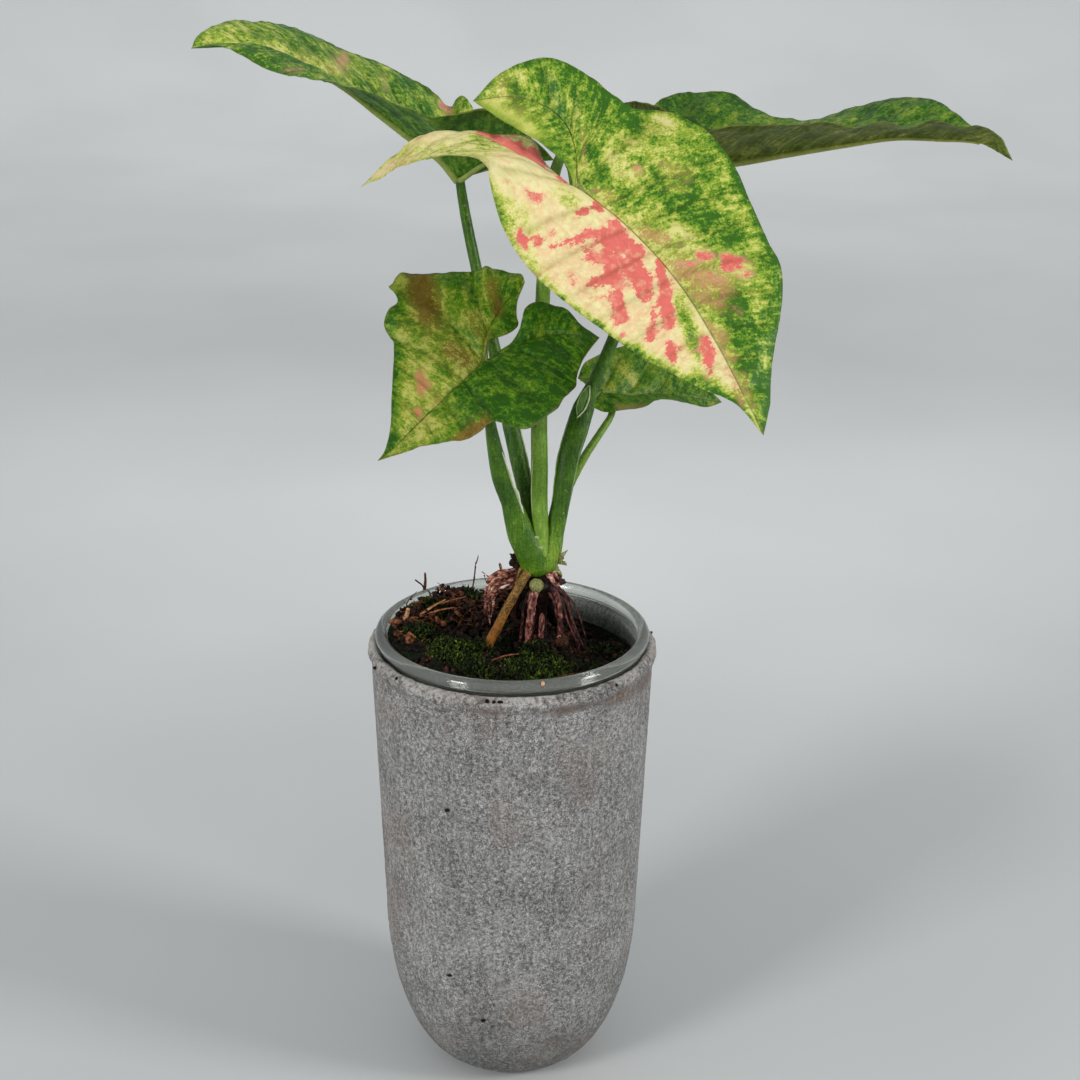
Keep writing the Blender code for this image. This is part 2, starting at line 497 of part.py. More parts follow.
def blade_half(bm, midrib, half, side, upward):
    lobe_rib = spaced(smooth_line(half["lobe_rib"]), ROWS_LOBE)
    inner = spaced(smooth_line(half["inner"]), ROWS_LOBE)
    outline = smooth_line(half["lobe_edge"] + half["blade_edge"])
    split = 16 * (len(half["lobe_edge"]) - 1)
    edge = spaced(outline[:split + 1], ROWS_LOBE) + spaced(outline[split:], ROWS_BLADE)[1:]
    ruled(bm, lobe_rib + midrib[1:], edge, COLUMNS, side, upward)
    ruled(bm, lobe_rib, inner, COLUMNS_INNER, -side, upward)


def make_leaf(name, leaf, parent):
    bm = bmesh.new()
    midrib = spaced(smooth_line(leaf["midrib"]), ROWS_BLADE)
    blade_half(bm, midrib, leaf["left"], 1, leaf["upward"])
    blade_half(bm, midrib, leaf["right"], -1, leaf["upward"])
    bmesh.ops.remove_doubles(bm, verts=bm.verts, dist=0.02)
    bmesh.ops.triangulate(bm, faces=bm.faces, quad_method="SHORT_EDGE")
    blade = add_object(name, bm, leaf["finish"], parent)
    thickness = blade.modifiers.new("thickness", "SOLIDIFY")
    thickness.thickness = BLADE * MM
    thickness.offset = 0.0


def main():
    clear_scene()
    holder = add_group("holder")
    plant = add_group("plant")
    make_pot(holder)
    make_cup(holder)
    mix = make_mix(holder)
    make_roots(plant, mix)
    make_crown(plant)
    for name, stalk in STALKS.items():
        make_stalk(name, stalk, plant)
    for name, leaf in LEAVES.items():
        make_leaf(name, leaf, plant)


main()
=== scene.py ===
"""Looks of the potted arrowhead plant: speckled blades, stalks, roots, moss, clear cup and rough grey pot.

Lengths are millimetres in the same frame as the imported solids; every mesh is written in metres.
"""
import math
import random

import bmesh
import bpy
import numpy as np
from mathutils import Matrix, Vector, noise


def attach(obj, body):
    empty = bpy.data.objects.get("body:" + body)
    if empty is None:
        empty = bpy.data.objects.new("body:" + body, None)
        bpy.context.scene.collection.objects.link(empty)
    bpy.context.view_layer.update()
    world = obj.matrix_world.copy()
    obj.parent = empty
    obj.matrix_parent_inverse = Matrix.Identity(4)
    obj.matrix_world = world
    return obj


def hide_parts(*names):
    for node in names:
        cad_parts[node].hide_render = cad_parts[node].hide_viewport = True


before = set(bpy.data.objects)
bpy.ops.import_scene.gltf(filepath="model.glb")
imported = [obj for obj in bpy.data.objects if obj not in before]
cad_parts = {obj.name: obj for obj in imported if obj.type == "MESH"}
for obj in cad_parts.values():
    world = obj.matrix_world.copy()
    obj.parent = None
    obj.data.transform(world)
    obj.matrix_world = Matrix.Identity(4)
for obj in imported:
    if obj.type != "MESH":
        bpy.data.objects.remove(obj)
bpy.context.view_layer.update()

MM = 0.001

# Camera and light
CAMERA_PLACE = (7.9, -563.9, 384.0)
CAMERA_DOWN = 21.0             # degrees below the horizon
CAMERA_ROLL = 0.45
LENS = 70.0
FLOOR_HEIGHT = -0.4
FLOOR_LEVEL_TO = 400.0
FLOOR_REACH = 1500.0
SWEEP_RADIUS = 700.0
SWEEP_TOP = 1100.0

# Outer pot and clear cup
FOOT_RADIUS = 17.0
SHOULDER_RADIUS = 38.2
SHOULDER_HEIGHT = 53.0
WALL_TOP_RADIUS = 41.2
WALL_TOP_HEIGHT = 131.5
LIP_RADIUS = 42.4
LIP_HEIGHT = 134.5
LIP_CREST = 136.7
POT_WALL = 2.4
CUP_RADIUS = 40.0
CUP_HEIGHT = 140.5
CUP_WALL = 0.8
CUP_PLAY = 0.4
RIM_BEAD = 1.8
STEP_HEIGHT = 135.6
STEP_RADIUS = 36.2
POT_COLUMNS = 320
POT_ROWS = 180
POT_ROUGH = 0.2                # height of the cement's grains

# Potting mix
MIX_GAP = 0.3
MIX_EDGE_RADIUS = STEP_RADIUS - MIX_GAP
MIX_LEVEL = 135.5
MIX_FALL = 0.13
MIX_DIP = 4.5
MIX_DIP_CENTRE = (22.0, 22.0)
MIX_DIP_REACH = 15.0
MIX_HEAP = 12.0
MIX_HEAP_CENTRE = (1.5, 8.0)
MIX_HEAP_REACH = 8.5
STEM = (8.0, 0.0)

# Blades
BLADE = 0.4                    # thickness of a blade
ARCH = 0.035                   # rise between rib and edge for each millimetre of width
LOBE_ROWS = 49                 # rows of the mesh along a lobe and along the rest of the blade
BLADE_ROWS = 105
COLUMNS = 34                   # from rib to outer edge, and from a lobe's rib to its inner edge
COLUMNS_INNER = 14
RIB_CROWDING = 1.5             # columns stand closer together near the rib
INNER_CROWDING = 1.2
VEIN_SPACING = 9.0
VEIN_LEAN = 0.28
VEIN_START = 8.0               # from here on along the rib the veins lean at their full slope
VEIN_GROOVE = (0.4, 0.7)       # depth and half width in millimetres
RIB_GROOVE = (0.3, 0.5)
QUILT_RISE = 0.36              # how far a blade swells between its veins
FADE_AT_EDGE = 6.0             # the relief fades out over this much before the edge, the rib and the tip
FADE_AT_RIB = 2.0
FADE_AT_TIP = 8.0
WELD = 0.02                    # points this close become one, and shorter edges than a sliver go
SLIVER = 0.004
# Waves of a blade over its face and along its margin: height, size and seed, and how far in the latter reach
FACE_WAVES = ((0.75, 11.0, 5.0), (0.3, 4.0, 2.0))
MARGIN_WAVES = ((0.7, 6.5, 9.0, 4.0), (0.35, 2.2, 4.0, 1.2))
CURVE_STEPS = 16

# Each stalk: its line from the crown to the blade, and half width and half depth along it
STALKS = {
    "stalk_front": dict(
        line=[(7.8, -2.4, 170.3), (7.6, -2, 180.5), (7.6, -1.5, 190), (7.4, 0, 205), (8.2, 2, 240),
            (9.3, 4.5, 262), (11, 5.5, 272), (13, 3, 277.5), (15.2, -2, 276.5), (16.4, -7.5, 272.2),
            (16.5, -11.2, 270.2), (16.5, -13.3, 271.4)],
        half_width=[2.2, 2.4, 2.4, 2.3, 2, 1.8, 1.6, 1.4, 1.4, 1.4, 1.2, 0.8],
        half_depth=[2.2, 2.4, 2.3, 2.2, 1.9, 1.7, 1.6, 1.4, 1.4, 1.4, 1.2, 0.8]),
    "stalk_upper_left": dict(
        line=[(4.2, 2.8, 170.3), (4, 3.2, 178), (1.5, 6, 190.5), (-0.5, 8, 199), (-6, 15, 222),
            (-11, 21, 243), (-14, 24, 257), (-15.4, 24.1, 266.3)],
        half_width=[2, 2.2, 2.6, 2.5, 1.8, 1.6, 1.5, 1.3],
        half_depth=[2, 2.2, 2.3, 2.2, 1.7, 1.6, 1.5, 1.3]),
    "stalk_upper_right": dict(
        line=[(12, -0.4, 170.3), (13.6, -0.5, 178.5), (14.8, 0, 186), (16, 1.5, 193), (18, 3.5, 199.5),
            (20, 6, 205.5), (22.6, 8, 212), (27.8, 12, 223), (37, 22, 247), (43.7, 29, 263.5),
            (45.4, 29.9, 268.6)],
        half_width=[2.1, 2.6, 2.9, 3.1, 3.3, 3.1, 1.8, 1.75, 1.7, 1.5, 1],
        half_depth=[2, 2.3, 2.4, 2.4, 2.3, 2.1, 1.7, 1.7, 1.6, 1.4, 1]),
    "stalk_lower_left": dict(
        line=[(1.9, -3.2, 170.3), (-0.5, -4, 180.5), (-3, -5, 188), (-4.8, -7.5, 197), (-6, -10, 205),
            (-7.5, -15, 215), (-7.6, -19, 222.5), (-7.4, -20, 225.2)],
        half_width=[2.2, 2.8, 2.8, 2.2, 1.6, 1.5, 1.3, 0.9],
        half_depth=[2, 2.2, 2.2, 1.9, 1.6, 1.4, 1.2, 0.9]),
    "stalk_lower_right": dict(
        line=[(10.8, 4.9, 170.3), (13, 6.2, 176.5), (17, 9, 183), (21, 12, 189.5), (25.3, 16.3, 195),
            (28.4, 20.5, 199), (28.8, 23, 202), (26.7, 22.4, 204.6)],
        half_width=[1.3, 1.3, 1.3, 1.2, 1.1, 1, 1, 0.8],
        half_depth=[1.3, 1.3, 1.2, 1.2, 1.1, 1, 1, 0.8]),
}

# Roots that prop the stem: line from the stub into the mix, and radius
PROP_ROOTS = [([(7.2, -2.2, 155), (6, -4.6, 152), (5.4, -4.6, 145), (5, -3.6, 139), (4.8, -3.2, 130)], 1.3),
    ([(8.2, -2.4, 154.5), (8.7, -4.6, 150.5), (8.6, -5.4, 145), (8.4, -5.2, 139), (8.4, -5, 130)], 0.95),
    ([(10, -1.4, 155), (13, -3, 151), (14, -3.2, 143), (14.2, -3.2, 130)], 0.9),
    ([(10.4, 0, 154.5), (14.6, -0.8, 151), (17, -0.6, 143), (18.6, 0, 138), (19.4, 0.4, 129)], 0.8),
    ([(6, 0.8, 154), (2.4, 2, 151), (0.6, 2.4, 144), (-0.4, 2.6, 130)], 0.95),
    ([(8.8, 2, 154), (11.5, 5, 150), (12.8, 6.6, 142), (13.2, 7, 128)], 0.9)]
AERIAL_ROOT = ([(5.2, -3.6, 160.2), (3.4, -5.8, 158), (0.6, -7.4, 153.2), (-2, -8, 148.4),
                (-4.2, -8.4, 143.6), (-6.6, -8.8, 138.7), (-7.8, -9, 131)], 1.5)
OLD_SHEATH = [(3.4, -1.6, 156.8), (-0.6, -2.6, 156.6), (-4.2, -3.6, 155.4), (-6.4, -4.4, 151.8),
    (-7, -5, 147)]
OLD_SHEATH_WIDTH = [1.5, 2.8, 3.0, 1.6, 0.7]
OLD_SHEATH_DEPTH = [0.8, 1.2, 1.2, 0.8, 0.5]

# Each blade: its midrib from stalk to tip, and for both halves the tip of the lobe, and the points between it
# and the stalk or the blade's tip: the lobe's rib, its inner edge, its outer edge and the edge from there on.
# Upward is 1 where the left half lies to the viewer's left
LEAVES = {
    "leaf_front": dict(
        upward=1,
        midrib=[(16.5, -14, 272), (24.5, -16, 267.5), (34.5, -21, 259.5), (44, -29, 250), (53.5, -41, 237),
            (64.5, -56, 218)],
        left=dict(
            lobe_tip=(-40, -13, 272),
            lobe_rib=[(-32, -9, 277.5), (-24.5, -5, 284), (-10, -3, 284.5), (-1, -5, 280.5),
                (8.5, -9, 276.5)],
            inner=[(-31, -5, 279.5), (-20, 5, 282.5), (-6.5, 7, 282.5), (4.5, 4, 282), (8.5, -4, 277)],
            lobe_edge=[(-28, -19, 279), (-17.5, -24, 282.5), (-6.5, -24, 282)],
            blade_edge=[(-6, -24, 277), (-2, -27, 263.5), (6, -33, 253.5), (16, -38, 246), (33, -44, 235.5),
                (47.5, -48, 228.5), (57.5, -52, 225)]),
        right=dict(
            lobe_tip=(-11, 4, 292),
            lobe_rib=[(1.5, 4, 293), (12, 2, 288.5), (16.5, -4, 281.5)],
            inner=[(-3.5, -1, 288), (8, -6, 282), (14, -10, 277.5)],
            lobe_edge=[(-3, 7, 299.5), (9.5, 8, 303), (21, 6, 298), (31, 2, 291), (40, 0, 290.5)],
            blade_edge=[(51, -5, 286), (58, -10.5, 278.5), (63, -18, 268.5), (67, -23, 260.5), (70, -27, 255),
                (70.5, -31, 248), (67.5, -41, 233), (66.5, -49, 224)])),
    "leaf_upper_left": dict(
        upward=-1,
        midrib=[(-15.5, 24, 267), (-20.5, 24, 273), (-28, 23, 278.5), (-37, 22, 285.5), (-46, 19, 293),
            (-56.5, 14, 300), (-68.5, 9, 305.5), (-85.5, 2, 305.5)],
        left=dict(
            lobe_tip=(11, 13, 274.5),
            lobe_rib=[(1.5, 17, 274.5), (-7.5, 21, 272.5)],
            inner=[(1, 18.5, 272.5), (-8, 22.5, 269.5)],
            lobe_edge=[(7, 11.5, 279), (-1, 9, 285.5), (-8.5, 7, 289.5), (-17.5, 5, 288), (-24, 3, 288.5)],
            blade_edge=[(-36.5, 1, 294), (-45, -1, 296.5), (-55.5, -3, 299), (-65, -5, 301.5),
                (-71.5, -4, 305), (-79, -1, 307)]),
        right=dict(
            lobe_tip=(-3.5, 42, 276.5),
            lobe_rib=[(-9.5, 34, 271.5)],
            inner=[(-5.5, 35, 271.5), (-10.5, 28.5, 268.2)],
            lobe_edge=[(-10.5, 45, 280), (-13, 46, 284), (-15.5, 47, 286.5), (-17.5, 48, 285),
                (-18.5, 49, 281.5)],
            blade_edge=[(-24.5, 49, 287.5), (-37, 48, 294.5), (-51.5, 42, 301), (-60.5, 37, 306),
                (-70, 28, 309.5), (-79, 16, 310.5), (-84.5, 6, 308)])),
    "leaf_lower_left": dict(
        upward=1,
        midrib=[(-7.5, -20, 226.5), (-12, -25, 223.5), (-20, -34.5, 218), (-26.6, -44.2, 213.8),
            (-30.2, -49, 211.2), (-34, -52, 209)],
        left=dict(
            lobe_tip=(3.2, -2.5, 244),
            lobe_rib=[(0, -5, 241), (-3.2, -8.5, 237.9), (-5.8, -12.5, 234.5), (-7.1, -15.5, 232.1),
                (-7.6, -18, 229.6)],
            inner=[(2.4, -4.5, 242.3), (1.3, -7, 239.9), (1.1, -10, 236.4), (1.6, -11.5, 234.5),
                (0.1, -13, 233.1), (-2.2, -14.5, 232.2), (-4.7, -16, 231.9), (-6.4, -17, 231.4),
                (-7, -18.5, 229.3)],
            lobe_edge=[(2.3, 0.5, 245.4), (0.2, 2, 245.4), (-2.5, 3.2, 245.7), (-5.2, 4.2, 245.8),
                (-7.8, 5.2, 246.6), (-9.5, 4.8, 245.6), (-11.8, 5.2, 245), (-17.6, 5, 244.9),
                (-23.7, 4, 244.5), (-27.6, 3, 244.9), (-30.5, 2, 245.3)],
            blade_edge=[(-32.1, 0, 244.6), (-33, -2, 243.4), (-33.9, -4, 242.9), (-32.5, -5, 241.5),
                (-31.4, -7, 240), (-31.6, -8, 239.2), (-33.5, -10, 238.1), (-34.5, -12, 235.9),
                (-34.5, -13.5, 234), (-33.6, -15, 232.4), (-32.2, -16.5, 231.8), (-31.6, -21, 229.4),
                (-31.5, -28.5, 225), (-31.4, -35.5, 220.5), (-31.3, -42, 216), (-31.7, -46.5, 212.8),
                (-32.5, -49.5, 210.6)]),
        right=dict(
            lobe_tip=(23.5, -17, 232.5),
            lobe_rib=[(15.6, -14.5, 232.6), (9, -14, 232), (3.1, -16, 230.6), (-1.9, -18, 228.6)],
            inner=[(21.2, -14.5, 233.4), (18.5, -12, 234.7), (16.7, -9.5, 236.3), (15.4, -8.5, 237.4),
                (13.4, -7.5, 238.3), (11.4, -7.5, 238.5), (9.5, -7, 239.3), (6.8, -7, 239.8),
                (4.6, -7.5, 239.2), (3.3, -8.5, 238), (2.6, -10, 236), (1.4, -13, 232.8),
                (-0.2, -15.5, 230.7), (-3.1, -17.5, 229), (-5.7, -19, 227.4)],
            lobe_edge=[(20.8, -20.5, 230), (18.5, -24.5, 227.5), (17.3, -28.5, 224.7), (17.1, -31, 223.1),
                (15.3, -33.5, 221.9), (13.7, -36, 221), (12.1, -38.5, 219.1), (9.6, -41, 217.9)],
            blade_edge=[(6.9, -44, 216.9), (4.7, -45.5, 216.2), (2.2, -46.5, 216.1), (-0.3, -46.3, 216.8),
                (-2.5, -46, 217.8), (-4, -46, 218.1), (-5.9, -47, 217.5), (-7.7, -48.3, 215.9),
                (-11.4, -49.5, 214.3), (-15.1, -50, 213.8), (-19.4, -50, 213.1), (-22.5, -50.5, 212.6),
                (-26.7, -51.5, 211.3), (-30.4, -52, 210.3)])),
    "leaf_lower_right": dict(
        upward=-1,
        midrib=[(25.5, 21, 206), (34, 24, 204), (42.5, 29, 202.5), (52.5, 36, 199.5), (62.5, 43, 196)],
        left=dict(
            lobe_tip=(18.5, 22, 209.5),
            lobe_rib=[(22, 22, 208.5)],
            inner=[(21.5, 20, 208)],
            lobe_edge=[(20.5, 26, 213), (25, 30, 214.5), (32.5, 35, 215.5)],
            blade_edge=[(41.5, 40, 213), (52.5, 44, 205.5)]),
        right=dict(
            lobe_tip=(22, 16, 203),
            lobe_rib=[(24, 19, 204.5)],
            inner=[(22.5, 18, 205.5)],
            lobe_edge=[(26.5, 15, 201.5), (34, 17, 202)],
            blade_edge=[(38, 19, 202), (42.5, 24, 202.5), (51, 31, 199.5), (57.5, 38, 196)])),
    "leaf_upper_right": dict(
        upward=-1,
        midrib=[(45.5, 30, 269.5), (61.5, 30, 271.5), (77.5, 29, 274.5), (91.5, 28, 277), (106.5, 26, 279.5),
            (118.5, 24, 279.5), (129.5, 21, 279), (137.5, 15, 275)],
        left=dict(
            lobe_tip=(39.5, 50, 280),
            lobe_rib=[(42.5, 38, 273)],
            inner=[(39, 44, 274.5), (41.5, 36, 271)],
            lobe_edge=[(40.5, 54, 283.5), (44, 57, 285), (51, 59, 286)],
            blade_edge=[(62.5, 59, 286), (70, 57, 282), (77.5, 54, 279.5), (87, 52, 279.5), (97.5, 51, 283),
                (109.5, 48, 286.5), (118.5, 43, 287), (128, 28, 282.5)]),
        right=dict(
            lobe_tip=(29, 14, 290),
            lobe_rib=[(34, 19, 283.5), (39.5, 25, 275.5)],
            inner=[(32, 22, 280), (38, 27, 272.5)],
            lobe_edge=[(34, 11.5, 291), (39.5, 10, 290), (45.5, 9, 286.5), (51.5, 9, 284.5)],
            blade_edge=[(59, 8, 285), (73, 6, 286), (85, 7, 286.5), (92, 7, 285.5), (100, 7, 287),
                (106.5, 7.5, 285.5), (113, 8, 287), (121, 9, 285.5), (128.5, 11, 284.5),
                (133.5, 13, 281.5)])),
}

# Colour strokes on each half of the blades, or on its part inside the lobe rib: start x and z, end x and z,
# half width and strength
MARKS = {
    "leaf_front": dict(
        pink=dict(
            left=[(10, 258, 20, 256, 3.6, 0.14), (14, 253, 23, 250, 3.4, 0.14),
                (26.5, 258.5, 26, 252, 4.4, 1), (26.5, 252, 28.5, 244, 2.4, 1), (24, 261.5, 32, 257, 2.8, 1),
                (31.5, 255.5, 34.5, 249.5, 3, 1), (38.5, 254.5, 41, 242, 2, 1),
                (36.5, 244, 36, 239, 1.4, 0.8), (40.5, 238, 41.5, 235, 1.7, 0.8),
                (50, 238, 51, 232.5, 2, 0.9), (26.5, 264, 29.5, 258, 2, 0.9),
                (28.5, 262, 33.5, 255, 1.7, 0.8), (17.5, 262, 23.5, 262.5, 1.4, 0.9),
                (17, 267, 19, 267.5, 1.4, 0.9), (21.5, 268.5, 23, 267.5, 1.2, 0.9),
                (18, 259.5, 22, 256.5, 2, 0.6), (6.5, 260.5, 15, 260, 1.7, 0.55),
                (2, 263, 3.5, 260, 1.4, 0.7), (15, 254, 16, 250.5, 1.2, 0.6), (20, 256.5, 24, 251, 2.6, 0.35),
                (-1.5, 275.5, 0, 273.5, 1.4, 0.45), (3.5, 273, 7, 271, 1.4, 0.6),
                (27, 241, 29.5, 239.5, 1.2, 0.5), (12, 275, 14.5, 273.5, 0.9, 0.8),
                (30, 265.5, 31.5, 264, 0.9, 0.6), (33.5, 249.5, 37, 240.5, 2.3, 0.35),
                (7.5, 256, 13, 251.5, 2.6, 0.25), (12.5, 261.5, 23, 255.5, 2.9, 0.25),
                (6, 262, 22, 259, 4.5, 0.3), (18, 254, 32, 247, 5.5, 0.32), (33, 246, 44, 235, 4, 0.3),
                (22, 262, 36, 250, 3.6, 0.34)],
            left_inner=[(-9, 284, 8, 277.5, 1.6, 1)],
            right=[(49, 257, 51.5, 256.5, 1.7, 0.7), (56, 255.5, 60, 254, 2.6, 0.75),
                (32.5, 276.5, 33.5, 276, 1.2, 0.5), (28, 276, 29, 275.5, 0.9, 0.5),
                (46.5, 252.5, 50.5, 253, 1.7, 0.35), (43, 256, 55, 251, 3.5, 0.28)]),
        brown=dict(
            right=[(35, 262, 40, 260.5, 2, 0.8), (45, 253.5, 55, 250, 3.8, 0.85),
                (47, 248.5, 54.5, 246, 2.3, 0.7), (50.5, 241.5, 55, 238.5, 2, 0.7),
                (52, 237, 57, 234.5, 1.7, 0.7), (54.5, 233.5, 60, 227.5, 1.7, 0.6),
                (22, 271.5, 27, 270, 1.7, 0.5), (40, 277.5, 46, 275.5, 2.3, 0.45),
                (41, 273, 45, 272, 1.4, 0.4), (-4, 298, 1.5, 289.5, 2.9, 0.4), (53, 247, 58, 244.5, 2.3, 0.4),
                (18.5, 285.5, 19, 277.5, 0.9, 0.5), (59.5, 230.5, 62, 224.5, 1.4, 0.5)],
            left=[(55.5, 232.5, 59, 225, 1.4, 0.6), (-31.5, 277.5, -27, 280, 1.7, 0.5)]),
        green=dict(
            right=[(29, 272.5, 32, 269.5, 2, 0.7), (41, 271, 47.5, 269, 2.6, 1.38),
                (46.5, 270, 53.5, 263, 4, 0.94), (55.5, 262.5, 60, 259.5, 3.2, 0.88),
                (57.5, 246, 62.5, 239, 4, 1.25), (60, 236.5, 66, 228, 3.5, 1),
                (51, 279.5, 61.5, 271.5, 3.5, 0.75), (64, 266.5, 67.5, 256, 2.3, 0.62),
                (-0.5, 295.5, 2, 291, 2.3, 1.12), (7, 297.5, 13, 283.5, 4.3, 0.81),
                (15, 298.5, 26, 290.5, 4, 0.75), (20.5, 280.5, 24, 276, 2, 1.12),
                (31, 289.5, 36, 284, 2.9, 1.12), (23, 288, 29.5, 281, 2.9, 0.56),
                (67.5, 254, 68, 238, 2, 0.56), (63, 225.5, 64.5, 219, 2.3, 1.12),
                (27.5, 279, 41, 289, 3, -0.8), (18.5, 268.5, 31, 262.5, 4, -0.5),
                (32, 260, 42, 252, 2.6, -0.5), (-4, 294, 2, 297.5, 3, -0.6), (27, 281, 33, 272, 2.2, -0.3),
                (44, 262, 49, 259, 2.2, -0.6), (55, 279, 62, 262, 2, -0.35), (61, 250, 66, 232, 1.5, -0.4)],
            left=[(-5, 272, 4, 264, 3.5, 0.69), (-3, 267.5, 12.5, 248, 1.4, 0.69),
                (12.5, 248, 33, 236, 1.4, 0.8), (33, 236, 53.5, 226.5, 1.7, 0.92),
                (43.5, 246.5, 48.5, 236, 2.3, 1.49), (48.5, 231, 57.5, 224.5, 2.3, 1.15),
                (12, 272, 17, 268.5, 2, 0.8), (58.5, 225.5, 62.5, 220.5, 2.3, 1.12),
                (-30, 280, -11.5, 283, 2.3, 0.69), (-9, 283, 8.5, 281, 1.4, 0.94)],
            right_inner=[(-8, 290.5, 3.5, 284.5, 4, -0.55), (3.5, 284.5, 16, 273, 3, -0.45)]),
        plain=dict(
            right_inner=[(-8, 290.5, 3.5, 284.5, 4.2, 1), (3.5, 284.5, 16, 273, 3, 1)])),
    "leaf_upper_left": dict(
        pink=dict(
            right=[(-21.5, 284.5, -19, 282, 1, 0.7), (-37.5, 292, -37, 290.5, 0.9, 0.4),
                (-49, 298.5, -48, 297, 1.2, 0.4)],
            left=[(-61.5, 301, -56.5, 299.5, 0.7, 0.25)]),
        brown=dict(
            right=[(-51, 299, -47, 296, 1.6, 0.5), (-38.5, 293, -36.5, 290, 1.2, 0.4),
                (-23.5, 286.5, -20.5, 284, 1.4, 0.5), (-58.5, 302, -54, 300, 1.2, 0.4)]),
        green=dict(
            right=[(-59.5, 305, -39, 295.5, 2.3, 0.5), (-45.5, 295, -25.5, 284, 2.9, 0.4),
                (-34.5, 293, -23.5, 287, 2.3, 0.6), (-69, 309, -59, 305, 1.7, 0.3),
                (-48, 299, -42, 295, 2.6, -0.35), (-39, 294, -36.5, 291.5, 2, -0.4),
                (-67.5, 305.5, -49.5, 296.5, 1.2, -0.5), (-83.5, 308, -76, 307, 2.3, -0.2)],
            left=[(-71, 304.5, -56.5, 300, 2.6, 0.6)])),
    "leaf_lower_left": dict(
        pink=dict(
            left=[(-24, 224, -23.5, 222.5, 2, 0.8), (-24.5, 218, -24, 217.5, 1.2, 0.6),
                (-20.5, 218.5, -18, 217.5, 2, 0.45), (-17, 216.5, -15.5, 215.5, 1.4, 0.35)]),
        brown=dict(
            left=[(-26, 244, -23, 238, 4.3, 1), (-24.5, 238, -21, 234.5, 3.2, 0.6),
                (-17, 229.5, -12, 227, 2.6, 0.7), (-6, 242.5, -4, 237.5, 2.3, 0.7),
                (-19, 220, -16, 218, 2, 0.4), (-31.5, 236.5, -27.5, 233, 1.7, 0.3),
                (-11.5, 235.5, -7, 231.5, 2.6, 0.5)],
            right=[(-14, 213.5, -6, 217.5, 1.4, 1), (-10.5, 216, -6.5, 217.5, 1.7, 0.6)]),
        green=dict(
            left=[(-33.5, 235.5, -30.5, 216.5, 1.7, 0.8), (-33, 240.5, -31, 237.5, 2.3, 0.7),
                (-3.5, 237.5, -0.5, 235, 2.9, 0.9), (-21, 244, -7.5, 243.5, 2.6, 0.5),
                (-2.5, 245, 0.5, 240, 2.3, 0.6), (-30.5, 213.5, -32, 210.5, 1.2, 1.2),
                (-28, 230, -19, 223, 2.9, -0.1), (-29.5, 223, -11, 225.5, 4, -0.3),
                (-30, 215.5, -15.5, 214.5, 3.5, -0.35), (-17, 241, -11.5, 233, 3.5, 0.15),
                (-32, 231.5, -29.5, 224, 1.7, 0.3)],
            right=[(2, 230.5, 13, 221, 7.5, 1), (7.5, 235.5, 18, 231, 5.8, 0.9),
                (-11.5, 221, -2.5, 217, 3.5, 0.6), (-2.5, 217.5, 6.5, 216, 2.3, 0.6),
                (-11, 222, -6.5, 219, 2.6, -0.2), (-33, 209.5, -23.5, 215, 4, -0.7),
                (-23, 215.5, -15, 217, 3, -0.55)])),
    "leaf_lower_right": dict(
        brown=dict(
            right=[(30, 202.5, 38, 201.5, 1.2, 0.8)],
            left=[(22.5, 205.5, 25, 205, 1.4, 0.3)]),
        green=dict(
            left=[(27.5, 214, 31, 209, 1.2, -0.7), (30, 212.5, 35, 206.5, 0.9, -0.6),
                (37, 213, 40.5, 209, 0.9, -0.5), (25, 212, 28.5, 206.5, 1.2, -0.5),
                (33.5, 208.5, 38.5, 204.5, 0.9, -0.5), (40, 208.5, 45.5, 203.5, 0.9, -0.35)])),
    "leaf_upper_right": dict(
        brown=dict(
            right=[(54.5, 279.5, 69, 275.5, 3.5, 0.8), (68, 279.5, 97, 278, 2.9, 0.5),
                (57.5, 275.5, 63.5, 272.5, 2, 0.9)]),
        green=dict(
            left=[(43.5, 284.5, 53, 281, 3.5, 0.6), (65, 282.5, 74.5, 285.5, 2.6, 0.5),
                (101, 284, 123, 285, 3.5, 0.5), (50.5, 285, 62.5, 284.5, 2.6, 0.4),
                (109, 284.5, 124.5, 285, 1.2, -0.4), (50.5, 283.5, 53, 281, 1.4, -0.35)])),
}


def paint(code):
    """Linear colour from a six-figure colour code."""
    parts = [int(code[i:i + 2], 16) / 255 for i in (0, 2, 4)]
    return tuple(c / 12.92 if c <= 0.04045 else ((c + 0.055) / 1.055) ** 2.4 for c in parts) + (1.0,)


class Wire:
    """An output socket of a finish, so that sums of sockets read as sums."""

    def __init__(self, finish, socket):
        self.finish, self.socket = finish, socket

    def calc(self, operation, *values):
        return self.finish.node("ShaderNodeMath", dict(operation=operation), dict(enumerate(values)))

    def __add__(self, other):
        return self.calc("ADD", self, other)

    def __sub__(self, other):
        return self.calc("SUBTRACT", self, other)

    def __rsub__(self, other):
        return self.calc("SUBTRACT", other, self)

    def __mul__(self, other):
        return self.calc("MULTIPLY", self, other)

    __radd__ = __add__
    __rmul__ = __mul__


